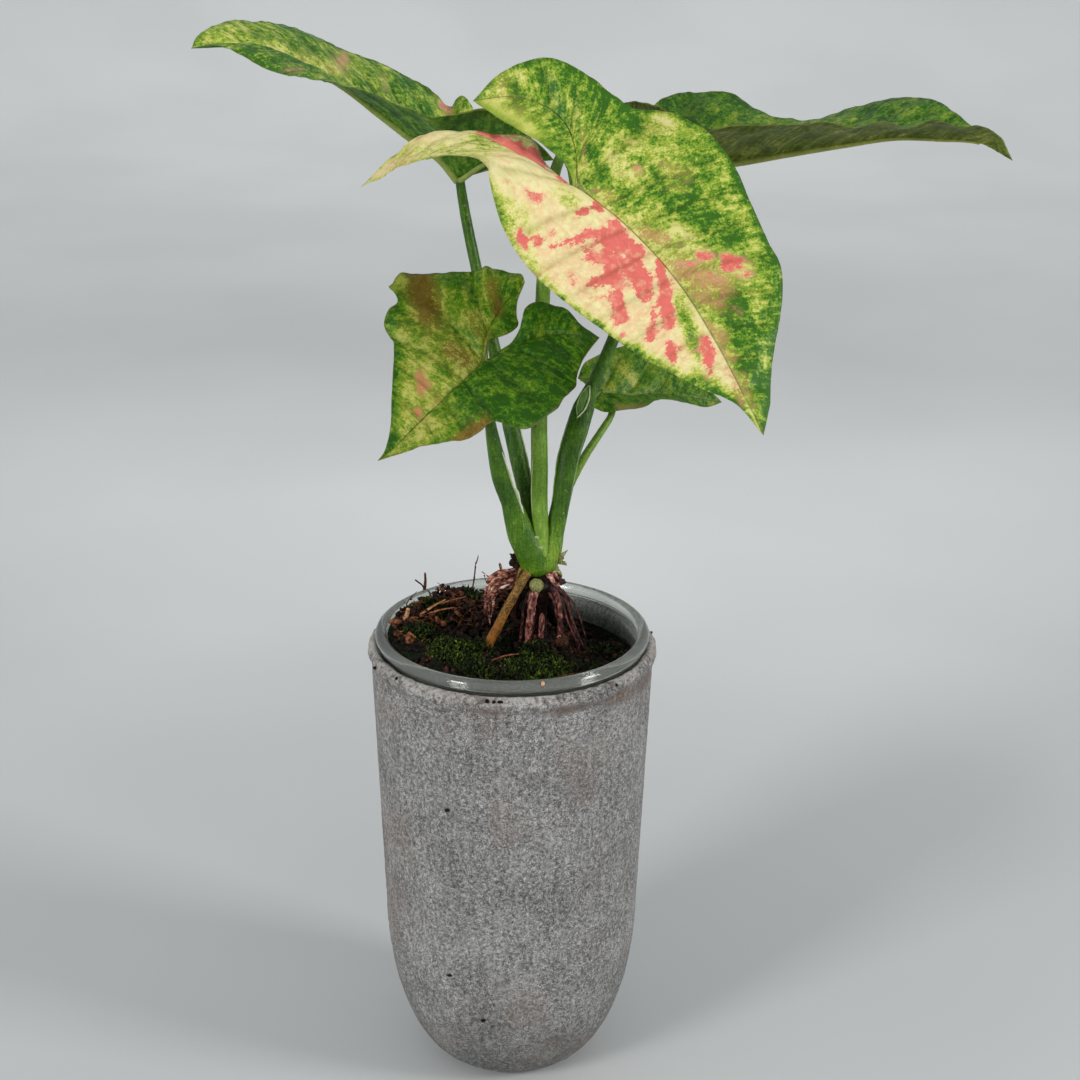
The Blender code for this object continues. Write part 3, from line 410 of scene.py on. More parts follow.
class Finish:
    """A node material. Constant values go straight onto the shader's sockets."""

    def __init__(self, name, **constants):
        self.material = bpy.data.materials.new(name)
        self.material.use_nodes = True
        self.tree = self.material.node_tree
        self.shader = self.tree.nodes["Principled BSDF"]
        for socket, value in constants.items():
            self.shader.inputs[socket.replace("_", " ")].default_value = value
        place = self.node("ShaderNodeTexCoord", {}, {}, "Object")
        self.place = self.node("ShaderNodeVectorMath", dict(operation="SCALE"), {0: place, "Scale": 1 / MM})
        self.height = self.node("ShaderNodeSeparateXYZ", {}, {0: self.place}, "Z")

    def node(self, kind, settings, sockets, output=0):
        """Add a node: its settings first, then the values or links of its sockets."""
        new = self.tree.nodes.new(kind)
        for key, value in settings.items():
            if key == "stops":
                self.set_stops(new.color_ramp, value)
            else:
                setattr(new, key, value)
        for key, value in sockets.items():
            self.feed(new.inputs[key], value)
        return Wire(self, new.outputs[output])

    def feed(self, socket, value):
        if isinstance(value, Wire):
            self.tree.links.new(value.socket, socket)
        else:
            socket.default_value = value

    @staticmethod
    def set_stops(ramp, stops):
        while len(ramp.elements) < len(stops):
            ramp.elements.new(1.0)
        for element, (position, colour) in zip(ramp.elements, stops):
            element.position = position
            element.color = paint(colour)

    def noise(self, size, detail=2.0, where=None, rough=0.5):
        """Even noise from 0 to 1 about 0.5, with lumps of the given size in millimetres."""
        return self.node("ShaderNodeTexNoise", {}, {"Vector": where or self.place, "Scale": 1 / size,
                                                     "Detail": detail, "Roughness": rough})

    def cells(self, size, where=None):
        return self.node("ShaderNodeTexVoronoi", {}, {0: where or self.place, "Scale": 1 / size}, "Distance")

    def stretched(self, factors, where=None):
        where = where or self.place
        return self.node("ShaderNodeVectorMath", dict(operation="MULTIPLY"), {0: where, 1: factors})

    def value(self, name):
        return self.node("ShaderNodeAttribute", dict(attribute_name=name), {}, "Fac")

    def vector(self, name):
        return self.node("ShaderNodeAttribute", dict(attribute_name=name), {}, "Vector")

    def between(self, value, low, high):
        """0 below low, 1 above high, and smooth from one to the other."""
        return self.node("ShaderNodeMapRange", dict(interpolation_type="SMOOTHSTEP"),
                         {"Value": value, "From Min": low, "From Max": high})

    def ramp(self, value, stops):
        return self.node("ShaderNodeValToRGB", dict(stops=stops), {0: value})

    def mix(self, share, a, b, blend="MIX"):
        return self.node("ShaderNodeMix", dict(data_type="RGBA", blend_type=blend), {0: share, 6: a, 7: b}, 2)

    def set(self, **sockets):
        for socket, value in sockets.items():
            self.feed(self.shader.inputs[socket.replace("_", " ")], value)

    def tone(self, lift, *parts):
        """The lift, plus each field about its middle times its weight."""
        return sum(((field - 0.5) * weight for field, weight in parts), lift)

    def relief(self, height, depth):
        """Fine relief: height from 0 to 1 stands for the depth in millimetres."""
        self.set(Normal=self.node("ShaderNodeBump", {}, {"Height": height, "Distance": depth * MM}, "Normal"))


def catmull(a, b, c, d, shares):
    """Centripetal Catmull-Rom points between b and c."""
    knots = np.cumsum([0.0] + [max(np.linalg.norm(q - p), 1e-6) ** 0.5 for p, q in ((a, b), (b, c), (c, d))])
    t0, t1, t2, t3 = knots
    t = (t1 + shares * (t2 - t1))[:, None]
    ab = a + (b - a) * (t - t0) / (t1 - t0)
    bc = b + (c - b) * (t - t1) / (t2 - t1)
    cd = c + (d - c) * (t - t2) / (t3 - t2)
    abc = ab + (bc - ab) * (t - t0) / (t2 - t0)
    bcd = bc + (cd - bc) * (t - t1) / (t3 - t1)
    return abc + (bcd - abc) * (t - t1) / (t2 - t1)


def smooth_line(points, steps=CURVE_STEPS):
    """Many points on one smooth curve through the given points."""
    points = np.array(points, float)
    padded = np.vstack([2 * points[0] - points[1], points, 2 * points[-1] - points[-2]])
    shares = np.arange(steps) / steps
    parts = [catmull(*padded[i:i + 4], shares) for i in range(len(points) - 1)]
    return np.vstack(parts + [points[-1:]])


def reach_along(line):
    return np.concatenate([[0.0], np.cumsum(np.linalg.norm(np.diff(line, axis=0), axis=1))])


def spaced(line, count):
    """The line again as count + 1 points at equal distances along it."""
    reach = reach_along(line)
    wanted = np.linspace(0, reach[-1], count + 1)
    return np.stack([np.interp(wanted, reach, line[:, k]) for k in range(3)], axis=1)


def unit(vectors):
    return vectors / np.maximum(np.linalg.norm(vectors, axis=-1, keepdims=True), 1e-9)


def lumps(points, size, seed=0.0):
    """Noise from about -1 to 1 at each point, with lumps of the given size."""
    shift = Vector((seed, 1.7 * seed, -seed))
    return np.array([noise.noise(Vector(p) / size + shift) for p in points])


class Shape:
    """Bodies of points and faces that grow into one mesh, in millimetres, with values kept for each point."""

    def __init__(self):
        self.points, self.faces, self.finish_of, self.values = [], [], [], {}
        self.count = 0

    def add(self, body, finish=0, **values):
        points, faces = body
        self.points.append(np.asarray(points, float))
        self.faces += [tuple(i + self.count for i in face) for face in faces]
        self.finish_of += [finish] * len(faces)
        for name in {**self.values, **values}:
            if name not in self.values:
                self.values[name] = [np.zeros(self.count)] if self.count else []
            value = np.asarray(values.get(name, 0.0), float)
            self.values[name].append(np.broadcast_to(value, (len(points),)))
        self.count += len(points)

    def mesh(self, name):
        mesh = bpy.data.meshes.new(name)
        mesh.from_pydata((np.vstack(self.points) * MM).tolist(), [], self.faces)
        for key, parts in self.values.items():
            layer = mesh.attributes.new(key, "FLOAT", "POINT")
            layer.data.foreach_set("value", np.concatenate(parts).astype(np.float32))
        mesh.shade_smooth()
        return mesh

    def piece(self, name, finishes, node, replace=True):
        mesh = self.mesh(name)
        mesh.polygons.foreach_set("material_index", self.finish_of)
        dress(bpy.data.objects.new(name, mesh), finishes, node, replace)


def one_body(name, body, finish, node, **values):
    shape = Shape()
    shape.add(body, **values)
    shape.piece(name, [finish], node)


def dress(obj, finishes, node, replace=True):
    """Link a piece, give it its finishes, attach it to the root body, and hide the solid it stands for if it
    replaces one.
    """
    bpy.context.scene.collection.objects.link(obj)
    for finish in finishes:
        obj.data.materials.append(finish.material)
    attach(obj, "root")
    if replace:
        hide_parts(node)


def ring_faces(rings, sides, first=0):
    """Quads between rings of points that follow one another."""
    faces = []
    for low in range(first, first + (rings - 1) * sides, sides):
        for s in range(sides):
            r = (s + 1) % sides
            faces.append((low + s, low + r, low + sides + r, low + sides + s))
    return faces


def cap(centre, first, sides, flip=False):
    """Triangles between a centre point and the ring that starts at first."""
    pairs = [(first + s, first + (s + 1) % sides) for s in range(sides)]
    return [(centre, b, a) if flip else (centre, a, b) for a, b in pairs]


def tube_mesh(path, wide, deep, sides, level=False, rough=0.0, seed=0.0):
    """Points and faces of a closed tube along a path, with half sizes at each path point."""
    path = np.asarray(path, float)
    count = len(path)
    wide, deep = np.broadcast_to(wide, (count,)), np.broadcast_to(deep, (count,))
    ahead = unit(np.gradient(path, axis=0))
    guide = np.array([1.0, 0.0, 0.0])
    if not level and abs(ahead[0][0]) > 0.8:
        guide = np.array([0.0, 0.0, 1.0])
    turns = np.arange(sides) * 2 * math.pi / sides
    x, y = np.cos(turns), np.sin(turns)
    points = []
    for i in range(count):
        across = unit(guide - ahead[i] * (guide @ ahead[i]))
        if not level:
            guide = across
        up = np.cross(ahead[i], across)
        points.append(path[i] + np.outer(x * wide[i], across) + np.outer(y * deep[i], up))
    points = np.array(points)
    if rough:
        outward = unit(points - path[:, None, :])
        push = lumps(points.reshape(-1, 3), 1.6 * rough + 0.8, seed) * rough
        points = points + outward * push.reshape(count, sides, 1)
    ends = count * sides
    faces = ring_faces(count, sides) + cap(ends, 0, sides, True) + cap(ends + 1, ends - sides, sides)
    return np.vstack([points.reshape(-1, 3), path[:1], path[-1:]]), faces


def rod(line, steps, start, end, sides, flat=1.0, **rough):
    """A tube along a smooth line that tapers from one half size to another."""
    path = smooth_line(line, steps)
    size = np.linspace(start, end, len(path))
    return tube_mesh(path, size, size * flat, sides, **rough)


def grown(sizes, steps):
    """Sizes given at the points of a line, spread over its smooth points."""
    count = len(sizes)
    return np.interp(np.linspace(0, count - 1, (count - 1) * steps + 1), np.arange(count), sizes)


def grown_line(line, wide, deep, steps):
    return smooth_line(line, steps), grown(wide, steps), grown(deep, steps)


def ring_points(radius, height, columns):
    turns = np.arange(columns) * 2 * math.pi / columns
    return np.stack([np.cos(turns) * radius, np.sin(turns) * radius, np.full(columns, height)], axis=1)


def lathe_mesh(profile, columns, rough=None):
    """Solid of revolution from (radius, height) rows; the first and last stand on the axis."""
    rows = np.array(profile, float)
    along = unit(np.gradient(rows, axis=0))
    rings = []
    for i, (radius, height) in enumerate(rows[1:-1], 1):
        ring = ring_points(radius, height, columns)
        if rough is not None and rough[i] > 0:
            push = lumps(ring, 1.5) * 0.6 + lumps(ring, 4.0, 3.0) * 0.5 + lumps(ring, 0.8, 7.0) * 0.5
            ring = ring + ring_points(along[i][1], -along[i][0], columns) * (push * rough[i])[:, None]
            ring[:, 2] = np.maximum(ring[:, 2], 0.0)
        rings.append(ring)
    points = np.vstack([[(0.0, 0.0, rows[0][1])], *rings, [(0.0, 0.0, rows[-1][1])]])
    end = len(points) - 1
    faces = cap(0, 1, columns, True) + ring_faces(len(rings), columns, 1) + cap(end, end - columns, columns)
    return points, faces


def bowl(inset, steps):
    """Wall of the pot from the middle of its floor to the top of the wall."""
    profile = [(0.0, inset), (FOOT_RADIUS * 0.5, inset), (FOOT_RADIUS, inset)]
    for i in range(1, steps + 1):
        angle = math.pi / 2 * (1 - i / steps)
        radius = FOOT_RADIUS + (SHOULDER_RADIUS - FOOT_RADIUS - inset) * math.cos(angle)
        profile.append((radius, SHOULDER_HEIGHT - (SHOULDER_HEIGHT - inset) * math.sin(angle)))
    return profile + [(WALL_TOP_RADIUS - inset, WALL_TOP_HEIGHT)]


def spread_rows(profile, rows):
    """A profile again with its points at equal distances."""
    line = np.array([(r, 0.0, z) for r, z in profile])
    return [(p[0], p[2]) for p in spaced(line, rows)]


def cement_finish():
    f = Finish("rough_cement", Specular_IOR_Level=0.25)
    grain = f.noise(0.29, 3.0, rough=0.65)
    coarse = f.noise(1.1, 3.0)
    cloud = f.noise(14.0, 3.0)
    pits = f.between(f.cells(1.5), 0.28, 0.12)
    tone = f.tone(0.5, (grain, 2.6), (coarse, 1.0), (cloud, 0.35))
    colour = f.ramp(tone, [(0.0, "2C2C2C"), (0.3, "5E5D5D"), (0.5, "868584"), (0.72, "AEADAB"),
                           (1.0, "DEDCDA")])
    colour = f.mix(pits * 0.4, colour, paint("4A4A4A"))
    lip = f.between(f.tone(f.height, (coarse, 9.0), (cloud, 8.0)), 133.5, 137.0)
    colour = f.mix(lip * 0.5, colour, paint("CAC4BE"))
    # Painted shade: a patchy darker band 128 to 133 mm high, inside the top of the pot and under its lip,
    # where the gap behind the clear cup lies in shade.
    gap_shade = f.between(f.noise(3.0, 3.0), 0.58, 0.66) * f.between(f.height, 128.0, 133.0)
    colour = f.mix(gap_shade * 0.6, colour, paint("4A453C"))
    # Painted shade: darker towards the foot, where the pot curves under towards the floor.
    foot = f.between(f.tone(f.height, (cloud, 20.0)), 40.0, 6.0)
    colour = f.mix(foot * 0.45, colour, paint("4C4D4C"))
    colour = f.mix(f.between(f.noise(22.0, 3.0), 0.5, 0.66) * 0.22, colour, paint("8A7468"))
    rust = f.tone(f.value("stain"), (coarse, 1.6), (grain, 0.8))
    colour = f.mix(f.between(rust, 0.35, 0.75) * 0.6, colour, paint("6B5140"))
    streak = f.noise(1.0, 3.0, f.stretched((0.6, 0.6, 0.07)))
    colour = f.mix(f.between(streak, 0.52, 0.68) * 0.22, colour, paint("B2B0B2"))
    colour = f.mix(f.between(streak, 0.46, 0.34) * 0.2, colour, paint("5E5D5D"))
    f.set(Base_Color=colour, Roughness=0.93)
    f.relief(grain * 0.5 + coarse * 0.5, 0.35)
    return f


def plastic_finish():
    f = Finish("clear_plastic", Transmission_Weight=0.88, IOR=1.46, Specular_IOR_Level=0.5)
    haze = f.noise(9.0, 3.0)
    scuff = f.noise(0.7, 2.0)
    f.set(Base_Color=f.mix(f.between(haze, 0.4, 0.7) * 0.6, paint("E6EAE4"), paint("C9D0C8")),
          Roughness=f.between(haze * 0.6 + scuff * 0.4, 0.35, 0.75) * 0.14 + 0.05)
    return f


def mix_finish():
    f = Finish("moist_mix", Specular_IOR_Level=0.15)
    crumb = f.noise(1.4, 3.0)
    patch = f.noise(9.0, 2.0)
    colour = f.ramp(crumb, [(0.3, "050403"), (0.5, "0E0B07"), (0.62, "1E170D"), (0.8, "3A2B19")])
    moss = f.ramp(crumb, [(0.3, "050802"), (0.52, "101906"), (0.75, "26340F")])
    f.set(Base_Color=f.mix(f.between(patch, 0.42, 0.55), colour, moss), Roughness=0.95)
    f.relief(f.noise(0.8, 3.0), 0.8)
    return f


# Finishes that only speckle the tone of their piece: gloss, lift, noises (size, detail, stretch and weight),
# roughness, depth of the first noise as relief, and colours
SPECKLED = {
    "moss": (
        0.2, 0.0, [(2.5, 2, (1, 1, 1), 1.0)], 0.85, 0.0,
        [(0.0, "050802"), (0.35, "111B05"), (0.6, "26380B"), (0.85, "4E6218"), (1.0, "868F3A")]),
    "bark_and_fibre": (
        0.25, 0.0, [(0.7, 3, (1, 1, 1), 0.9)], 0.88, 0.3,
        [(0.0, "0B0705"), (0.22, "2A1810"), (0.45, "5A3321"), (0.65, "935C3C"), (0.82, "C58351"),
         (1.0, "E9B990")]),
    "prop_root": (
        0.35, 0.34, [(0.7, 3, (1, 1, 0.45), 1.5), (2.6, 2, (0.5, 0.5, 1.1), 0.7)], 0.6, 0.5,
        [(0.0, "160806"), (0.25, "421F1B"), (0.45, "7D463D"), (0.65, "B87E6F"), (0.82, "DDB2A0"),
         (1.0, "EFD3C6")]),
    "papery_sheath": (
        0.35, 0.38, [(0.7, 3, (0.45, 1, 1.1), 1.6), (2.2, 2, (1, 1, 1), 1.0)], 0.6, 0.6,
        [(0.0, "1E0B07"), (0.25, "5E2D22"), (0.45, "9A5F4E"), (0.65, "CF9C88"), (0.85, "F3D8C8"),
         (1.0, "FFF3EA")]),
    "sheath_edge": (
        0.4, 0.0, [(0.5, 2, (1, 1, 0.1), 0.6)], 0.5, 0.0,
        [(0.0, "3D6A22"), (0.4, "7A9A52"), (0.7, "C3CBA2"), (1.0, "EFE7DA")]),
}


def speckled_finish(name):
    gloss, lift, parts, roughness, depth, stops = SPECKLED[name]
    f = Finish(name, Specular_IOR_Level=gloss)
    fields = [(f.noise(size, detail, f.stretched(stretch)), share) for size, detail, stretch, share in parts]
    f.set(Base_Color=f.ramp(f.tone(f.value("tone") + lift, *fields), stops), Roughness=roughness)
    if depth:
        f.relief(fields[0][0], depth)
    return f


def aerial_finish():
    f = Finish("aerial_root", Specular_IOR_Level=0.35)
    fleck = f.noise(0.45, 2.0)
    cloud = f.noise(3.0, 2.0)
    low = f.between(f.height, 160.0, 141.0)
    tone = f.tone(0.42, (fleck, 1.3), (cloud, 0.8))
    colour = f.ramp(tone, [(0.0, "2C1D08"), (0.3, "66491A"), (0.55, "957430"), (0.8, "C7A660"),
                           (1.0, "E6D6A4")])
    colour = f.mix(low * 0.55, colour, paint("D98A30"), "MULTIPLY")
    colour = f.mix(f.between(low + (cloud - 0.5) * 1.2, 0.6, 1.2) * 0.5, colour, paint("B06C1C"))
    f.set(Base_Color=colour, Roughness=0.6)
    f.relief(fleck, 0.25)
    return f


def stalk_finish(name, stops, dots=0.3):
    """Green stalk with fine streaks along it and pale dots."""
    f = Finish(name, Specular_IOR_Level=0.35)
    streak = f.noise(0.5, 2.0, f.stretched((1.0, 1.0, 0.06)))
    fleck = f.noise(0.6, 2.0)
    cloud = f.noise(7.0, 2.0)
    tone = f.tone(f.value("light") + 0.45, (streak, 0.6), (fleck, 0.7), (cloud, 0.8))
    colour = f.ramp(tone, [(k / (len(stops) - 1), stop) for k, stop in enumerate(stops)])
    dot = f.between(f.cells(1.9), 0.2, 0.1) * f.between(f.noise(4.0), 0.42, 0.6)
    colour = f.mix(dot * dots, colour, paint("C3CE96"))
    f.set(Base_Color=colour, Roughness=f.between(streak, 0.3, 0.7) * 0.15 + 0.36)
    f.relief(streak, 0.12)
    return f


# Each blade's base tone on its two halves, 0 for cream and 1 for deep green, how strong its mottling, green
# margin, pale rib and dark rim (partly a brown edge, partly painted shade along the margin) are, and its warm
# colours
TONES = {
    "leaf_front": dict(left=0.10, right=0.60, mottle=1.0, margin=0.24, rib=0.16, rim=0.15, blush=0.6,
                       pink="EC6E68", rose="F4B493", brown="BC7F55"),
    "leaf_upper_left": dict(left=0.76, right=0.66, mottle=0.9, margin=0.08, rib=0.4, rim=0.3, blush=0.1,
                            pink="DE9080", rose="D6A582", brown="B59C66"),
    "leaf_lower_left": dict(left=0.56, right=0.76, mottle=0.85, margin=0.04, rib=0.0, rim=0.5, blush=0.0,
                            pink="C4845E", rose="AC9350", brown="783C14"),
    "leaf_lower_right": dict(left=0.78, right=0.82, mottle=0.8, margin=0.0, rib=0.1, rim=0.3, blush=0.0,
                             pink="B98468", rose="A99060", brown="8A7A4A"),
    "leaf_upper_right": dict(left=0.72, right=0.82, mottle=0.8, margin=0.0, rib=0.1, rim=0.3, blush=0.0,
                             pink="B98468", rose="A99060", brown="5E5626"),
}
STROKE_GREEN = 0.36            # how far a green stroke darkens the ground
GREENS = (0.0, 0.22, 0.4, 0.55, 0.7, 0.85, 1.0)
LEAF_RAMP = list(zip(GREENS, ("F9EEB6", "EBE298", "CFD36C", "AABB47", "85A52F", "5B891E", "356A10")))
DARK_RAMP = list(zip(GREENS, ("E2DC90", "C1C064", "9EA840", "7C9328", "5B8416", "427208", "245403")))


def blade_finish(name, tones, stops):
    """Upper face of a blade: mottled ground, pink splashes, brown clouds, rib, veins and margin, with painted
    shade in the rib's crease, in the vein grooves and along the edge.
    """
    f = Finish(name + "_upper", Specular_IOR_Level=0.28)
    grain, off_rib, margin = f.vector("grain"), f.value("off_rib"), f.value("margin")
    cloud = f.noise(6.0, 3.0)
    fleck = f.noise(1.5, 3.0, rough=0.62)
    dust = f.noise(0.5, 1.0)
    streak = f.noise(1.0, 2.0, f.stretched((0.95, 0.24, 1.0), grain), 0.6)
    patch = f.noise(3.2, 3.0, f.stretched((1.0, 0.5, 1.0), grain))
    mesh = f.cells(1.7, grain)
    ragged = f.tone(0.0, (fleck, 1.2), (streak, 1.0), (dust, 0.8))
    green = f.value("green") + f.between(margin + (fleck - 0.5) * 2.0, 2.4, 0.5) * tones["margin"]
    busy = (f.between(green, 0.0, 0.45) * (0.85 * tones["mottle"]) + 0.15) * (1 - f.value("plain") * 0.85)
    mottled = green + f.tone(ragged * 0.9, (cloud, 0.7), (patch, 0.85)) * busy
    colour = f.ramp(mottled.calc("MAXIMUM", mottled, green * 0.55), stops)
    blush = f.between(cloud + (fleck - 0.5) * 0.8, 0.38, 0.62) * f.between(green, 0.34, 0.1)
    colour = f.mix(blush * tones["blush"], colour, paint("F7CDA2"))
    brown = f.value("brown")
    cover = f.between(brown + ragged * 0.9, 0.2, 0.9) * f.between(brown, 0.02, 0.2)
    colour = f.mix(cover * 0.7, colour, f.mix(f.between(streak + (fleck - 0.5), 0.45, 0.7) * 0.5,
                                              paint(tones["brown"]), paint(tones["rose"])))
    pink = f.value("pink")
    torn = pink + ragged * 0.6 + (patch - 0.5) * 1.7
    near = f.between(pink, 0.01, 0.14)
    colour = f.mix(f.between(torn, 0.12, 0.75) * near * 0.75, colour, paint(tones["rose"]))
    flushed = f.mix(f.between(f.tone(cloud, (fleck, 1.0)), 0.5, 0.75) * 0.6, paint(tones["pink"]),
                    paint(tones["rose"]))
    colour = f.mix(f.between(torn, 0.5, 0.6) * near * 0.94, colour, flushed)
    colour = f.mix(f.between(off_rib + (fleck - 0.5) * 2.0, 1.1, 0.3) * tones["rib"], colour, paint("D2D386"))
    # Painted shade: a dark olive line in the crease along the rib.
    colour = f.mix(f.between(off_rib, 0.4, 0.08) * 0.55, colour, paint("46500F"))
    # Greenish veins and a fine network; the darker vein lines are partly painted shade in the sunken vein
    # grooves.
    colour = f.mix(f.value("vein") * 0.4 + f.between(mesh, 0.45, 0.75) * 0.12, colour, paint("9C9F62"),
                   "MULTIPLY")
    # Dark olive rim along the edge: partly a real brown edge, partly painted shade along the margin.
    colour = f.mix(f.between(margin, 0.7, 0.15) * tones["rim"], colour, paint("6E6420"))
    f.set(Base_Color=colour, Roughness=f.between(fleck, 0.25, 0.75) * 0.16 + 0.42)
    f.relief(fleck * 0.5 + streak * 0.4 - mesh * 0.3, 0.26)
    return f


def underside_finish(name, stops):
    """Lower face of a blade: duller, with faint streaks along the veins."""
    f = Finish(name + "_under", Specular_IOR_Level=0.25)
    grain = f.vector("grain")
    streak = f.noise(1.0, 3.0, f.stretched((0.9, 0.2, 1.0), grain))
    blotch = f.noise(6.0, 3.0)
    fleck = f.noise(1.1, 3.0)
    base = f.value("green") * 0.35 - f.value("vein") * 0.15 + 0.3
    colour = f.ramp(f.tone(base, (streak, 1.2), (blotch, 1.0), (fleck, 1.0)), stops)
    colour = f.mix(f.between(f.value("margin"), 0.8, 0.2) * 0.4, colour, paint("B4B46A"))
    f.set(Base_Color=colour, Roughness=0.6)
    f.relief(streak, 0.15)
    return f


UNDER_STOPS = {
    "leaf_front": [(0.0, "E9DEA2"), (0.35, "CFC97E"), (0.7, "A0AB50"), (1.0, "708C30")],
    "leaf_upper_left": [(0.0, "8EA542"), (0.35, "5C8526"), (0.65, "366412"), (1.0, "1C4608")],
    "leaf_lower_left": [(0.0, "98A450"), (0.4, "6C862E"), (0.7, "486A18"), (1.0, "2A4A0A")],
    "leaf_lower_right": [(0.0, "8CA458"), (0.4, "587E36"), (0.7, "3A601E"), (1.0, "22450E")],
    "leaf_upper_right": [(0.0, "A8AA58"), (0.3, "7A8430"), (0.6, "556418"), (1.0, "344808")],
}


def stroke_field(xz, strokes, parts, add_up):
    """How strongly each point lies under the strokes of its parts of the blade."""
    field = np.zeros(len(xz))
    for x1, z1, x2, z2, width, strength in (stroke for part in parts for stroke in strokes.get(part, ())):
        start, span = np.array([x1, z1]), np.array([x2 - x1, z2 - z1])
        share = np.clip(((xz - start) @ span) / max(span @ span, 1e-6), 0, 1)
        away = np.linalg.norm(xz - start - share[:, None] * span, axis=1)
        under = strength * np.exp(-(away / width) ** 2)
        field = field + under if add_up else np.maximum(field, under)
    return field


def sheet(spine, edge, columns, side, crowding):
    """Points of a blade between a rib and an edge, arched up a little, and the way up at the rib."""
    shares = (np.arange(columns + 1) / columns) ** crowding
    across = edge - spine
    length = np.linalg.norm(across, axis=1, keepdims=True)
    up = unit(np.cross(across, np.gradient(spine, axis=0)) * side)
    bulge = np.sin(math.pi * shares ** 0.8)
    points = spine[:, None] + across[:, None] * shares[None, :, None]
    points = points + up[:, None] * (length * ARCH)[:, None] * bulge[None, :, None]
    return points, shares, length, up


def soften(points, row, reach=16, passes=60):
    """Even out the crease that the rows make where the lobe meets the blade."""
    rows = np.arange(len(points))
    weight = np.exp(-((rows - row) / reach) ** 2)[1:-1, None, None] * 0.5
    for _ in range(passes):
        middle = (points[:-2, 1:-1] + points[2:, 1:-1]) / 2
        points[1:-1, 1:-1] += (middle - points[1:-1, 1:-1]) * weight
    return points


def grid_faces(rows, columns, flip):
    faces = []
    for i in range(rows):
        for k in range(columns):
            a = i * (columns + 1) + k
            cell = (a, a + 1, a + columns + 2, a + columns + 1)
            faces.append(cell[::-1] if flip else cell)
    return faces


def blade_part(shape, name, spine, edge, station, columns, side, crowding, half, outward):
    """One sheet of a blade with its values: relief, colours, veins, and distance from rib and edge."""
    face = side * LEAVES[name]["upward"]
    points, shares, length, up = sheet(spine, edge, columns, face, crowding)
    if outward > 0:
        points = soften(points, LOBE_ROWS)
    flat = points.reshape(-1, 3)
    from_rib = (length * shares[None, :]).ravel()
    from_edge = (length * (1 - shares[None, :])).ravel()
    along = np.repeat(station, columns + 1)
    phase = along - VEIN_LEAN * from_rib * np.tanh(along / VEIN_START)
    nearest = np.abs((phase / VEIN_SPACING + 0.5) % 1.0 - 0.5) * VEIN_SPACING
    off_edge = np.clip(from_edge / FADE_AT_EDGE, 0, 1)
    fade = off_edge * np.clip(from_rib / FADE_AT_RIB, 0, 1)
    vein = np.exp(-(nearest / VEIN_GROOVE[1]) ** 2) * fade
    quilt = np.sin(math.pi * nearest / VEIN_SPACING) ** 2 * fade
    relief = QUILT_RISE * quilt - VEIN_GROOVE[0] * vein
    for rise, size, seed in FACE_WAVES:
        relief = relief + rise * lumps(flat, size, seed) * fade
    for rise, size, seed, reach in MARGIN_WAVES:
        relief = relief + rise * (lumps(flat, size, seed) * np.exp(-(from_edge / reach) ** 2))
    relief = relief - RIB_GROOVE[0] * np.exp(-(from_rib / RIB_GROOVE[1]) ** 2) * off_edge
    relief = relief * np.clip(np.repeat(length[:, 0], columns + 1) / FADE_AT_TIP, 0, 1)
    xz = flat[:, [0, 2]]
    where = (half,) if outward > 0 else (half, half + "_inner")
    pink, brown, green, plain = (stroke_field(xz, MARKS[name].get(kind, {}), where, kind == "green")
                                 for kind in ("pink", "brown", "green", "plain"))
    green = np.clip(TONES[name][half] + STROKE_GREEN * green, 0.0, 0.92)
    shape.add((flat, grid_faces(len(spine) - 1, columns, face < 0)), relief=relief, green=green, plain=plain,
              pink=pink, brown=brown, vein=vein, off_rib=from_rib, margin=from_edge,
              inside=np.clip(from_edge / 3.0, 0.25, 1.0), phase=phase, away=from_rib * side * outward)
    return up


def build_blade(name, leaf, finishes):
    """A whole blade as one thin body, with relief on both faces and its own finish below."""
    shape = Shape()
    foot, tip = leaf["midrib"][0], leaf["midrib"][-1]
    midrib = spaced(smooth_line(leaf["midrib"]), BLADE_ROWS)
    ribs, ups = [], 0.0
    for half_name, side in (("left", 1), ("right", -1)):
        half = leaf[half_name]
        lobe_tip = [half["lobe_tip"]]
        lobe_rib, inner = (spaced(smooth_line(lobe_tip + half[key] + [foot]), LOBE_ROWS)
                           for key in ("lobe_rib", "inner"))
        outline = smooth_line(lobe_tip + half["lobe_edge"] + half["blade_edge"] + [tip])
        split = CURVE_STEPS * len(half["lobe_edge"])
        edge = np.vstack([spaced(outline[:split + 1], LOBE_ROWS), spaced(outline[split:], BLADE_ROWS)[1:]])
        spine = np.vstack([lobe_rib, midrib[1:]])
        station = reach_along(spine) - reach_along(spine)[LOBE_ROWS]
        up = blade_part(shape, name, spine, edge, station, COLUMNS, side, RIB_CROWDING, half_name, 1)
        up_inner = blade_part(shape, name, lobe_rib, inner, station[:LOBE_ROWS + 1], COLUMNS_INNER, -side,
                              INNER_CROWDING, half_name, -1)
        ups = ups + up[LOBE_ROWS:]
        ribs.append((lobe_rib, unit(up[:LOBE_ROWS + 1] + up_inner)))
    ribs.append((midrib, unit(ups)))
    mesh = shape.mesh(name)
    bm = bmesh.new()
    bm.from_mesh(mesh)
    bmesh.ops.remove_doubles(bm, verts=bm.verts, dist=WELD * MM)
    bmesh.ops.dissolve_degenerate(bm, edges=bm.edges, dist=SLIVER * MM)
    bm.to_mesh(mesh)
    bm.free()
    raise_relief(mesh)
    pack_grain(mesh)
    obj = bpy.data.objects.new(name + "_blade", mesh)
    dress(obj, finishes, name)
    thicken(obj)
    rib_piece(name, ribs, finishes[1])


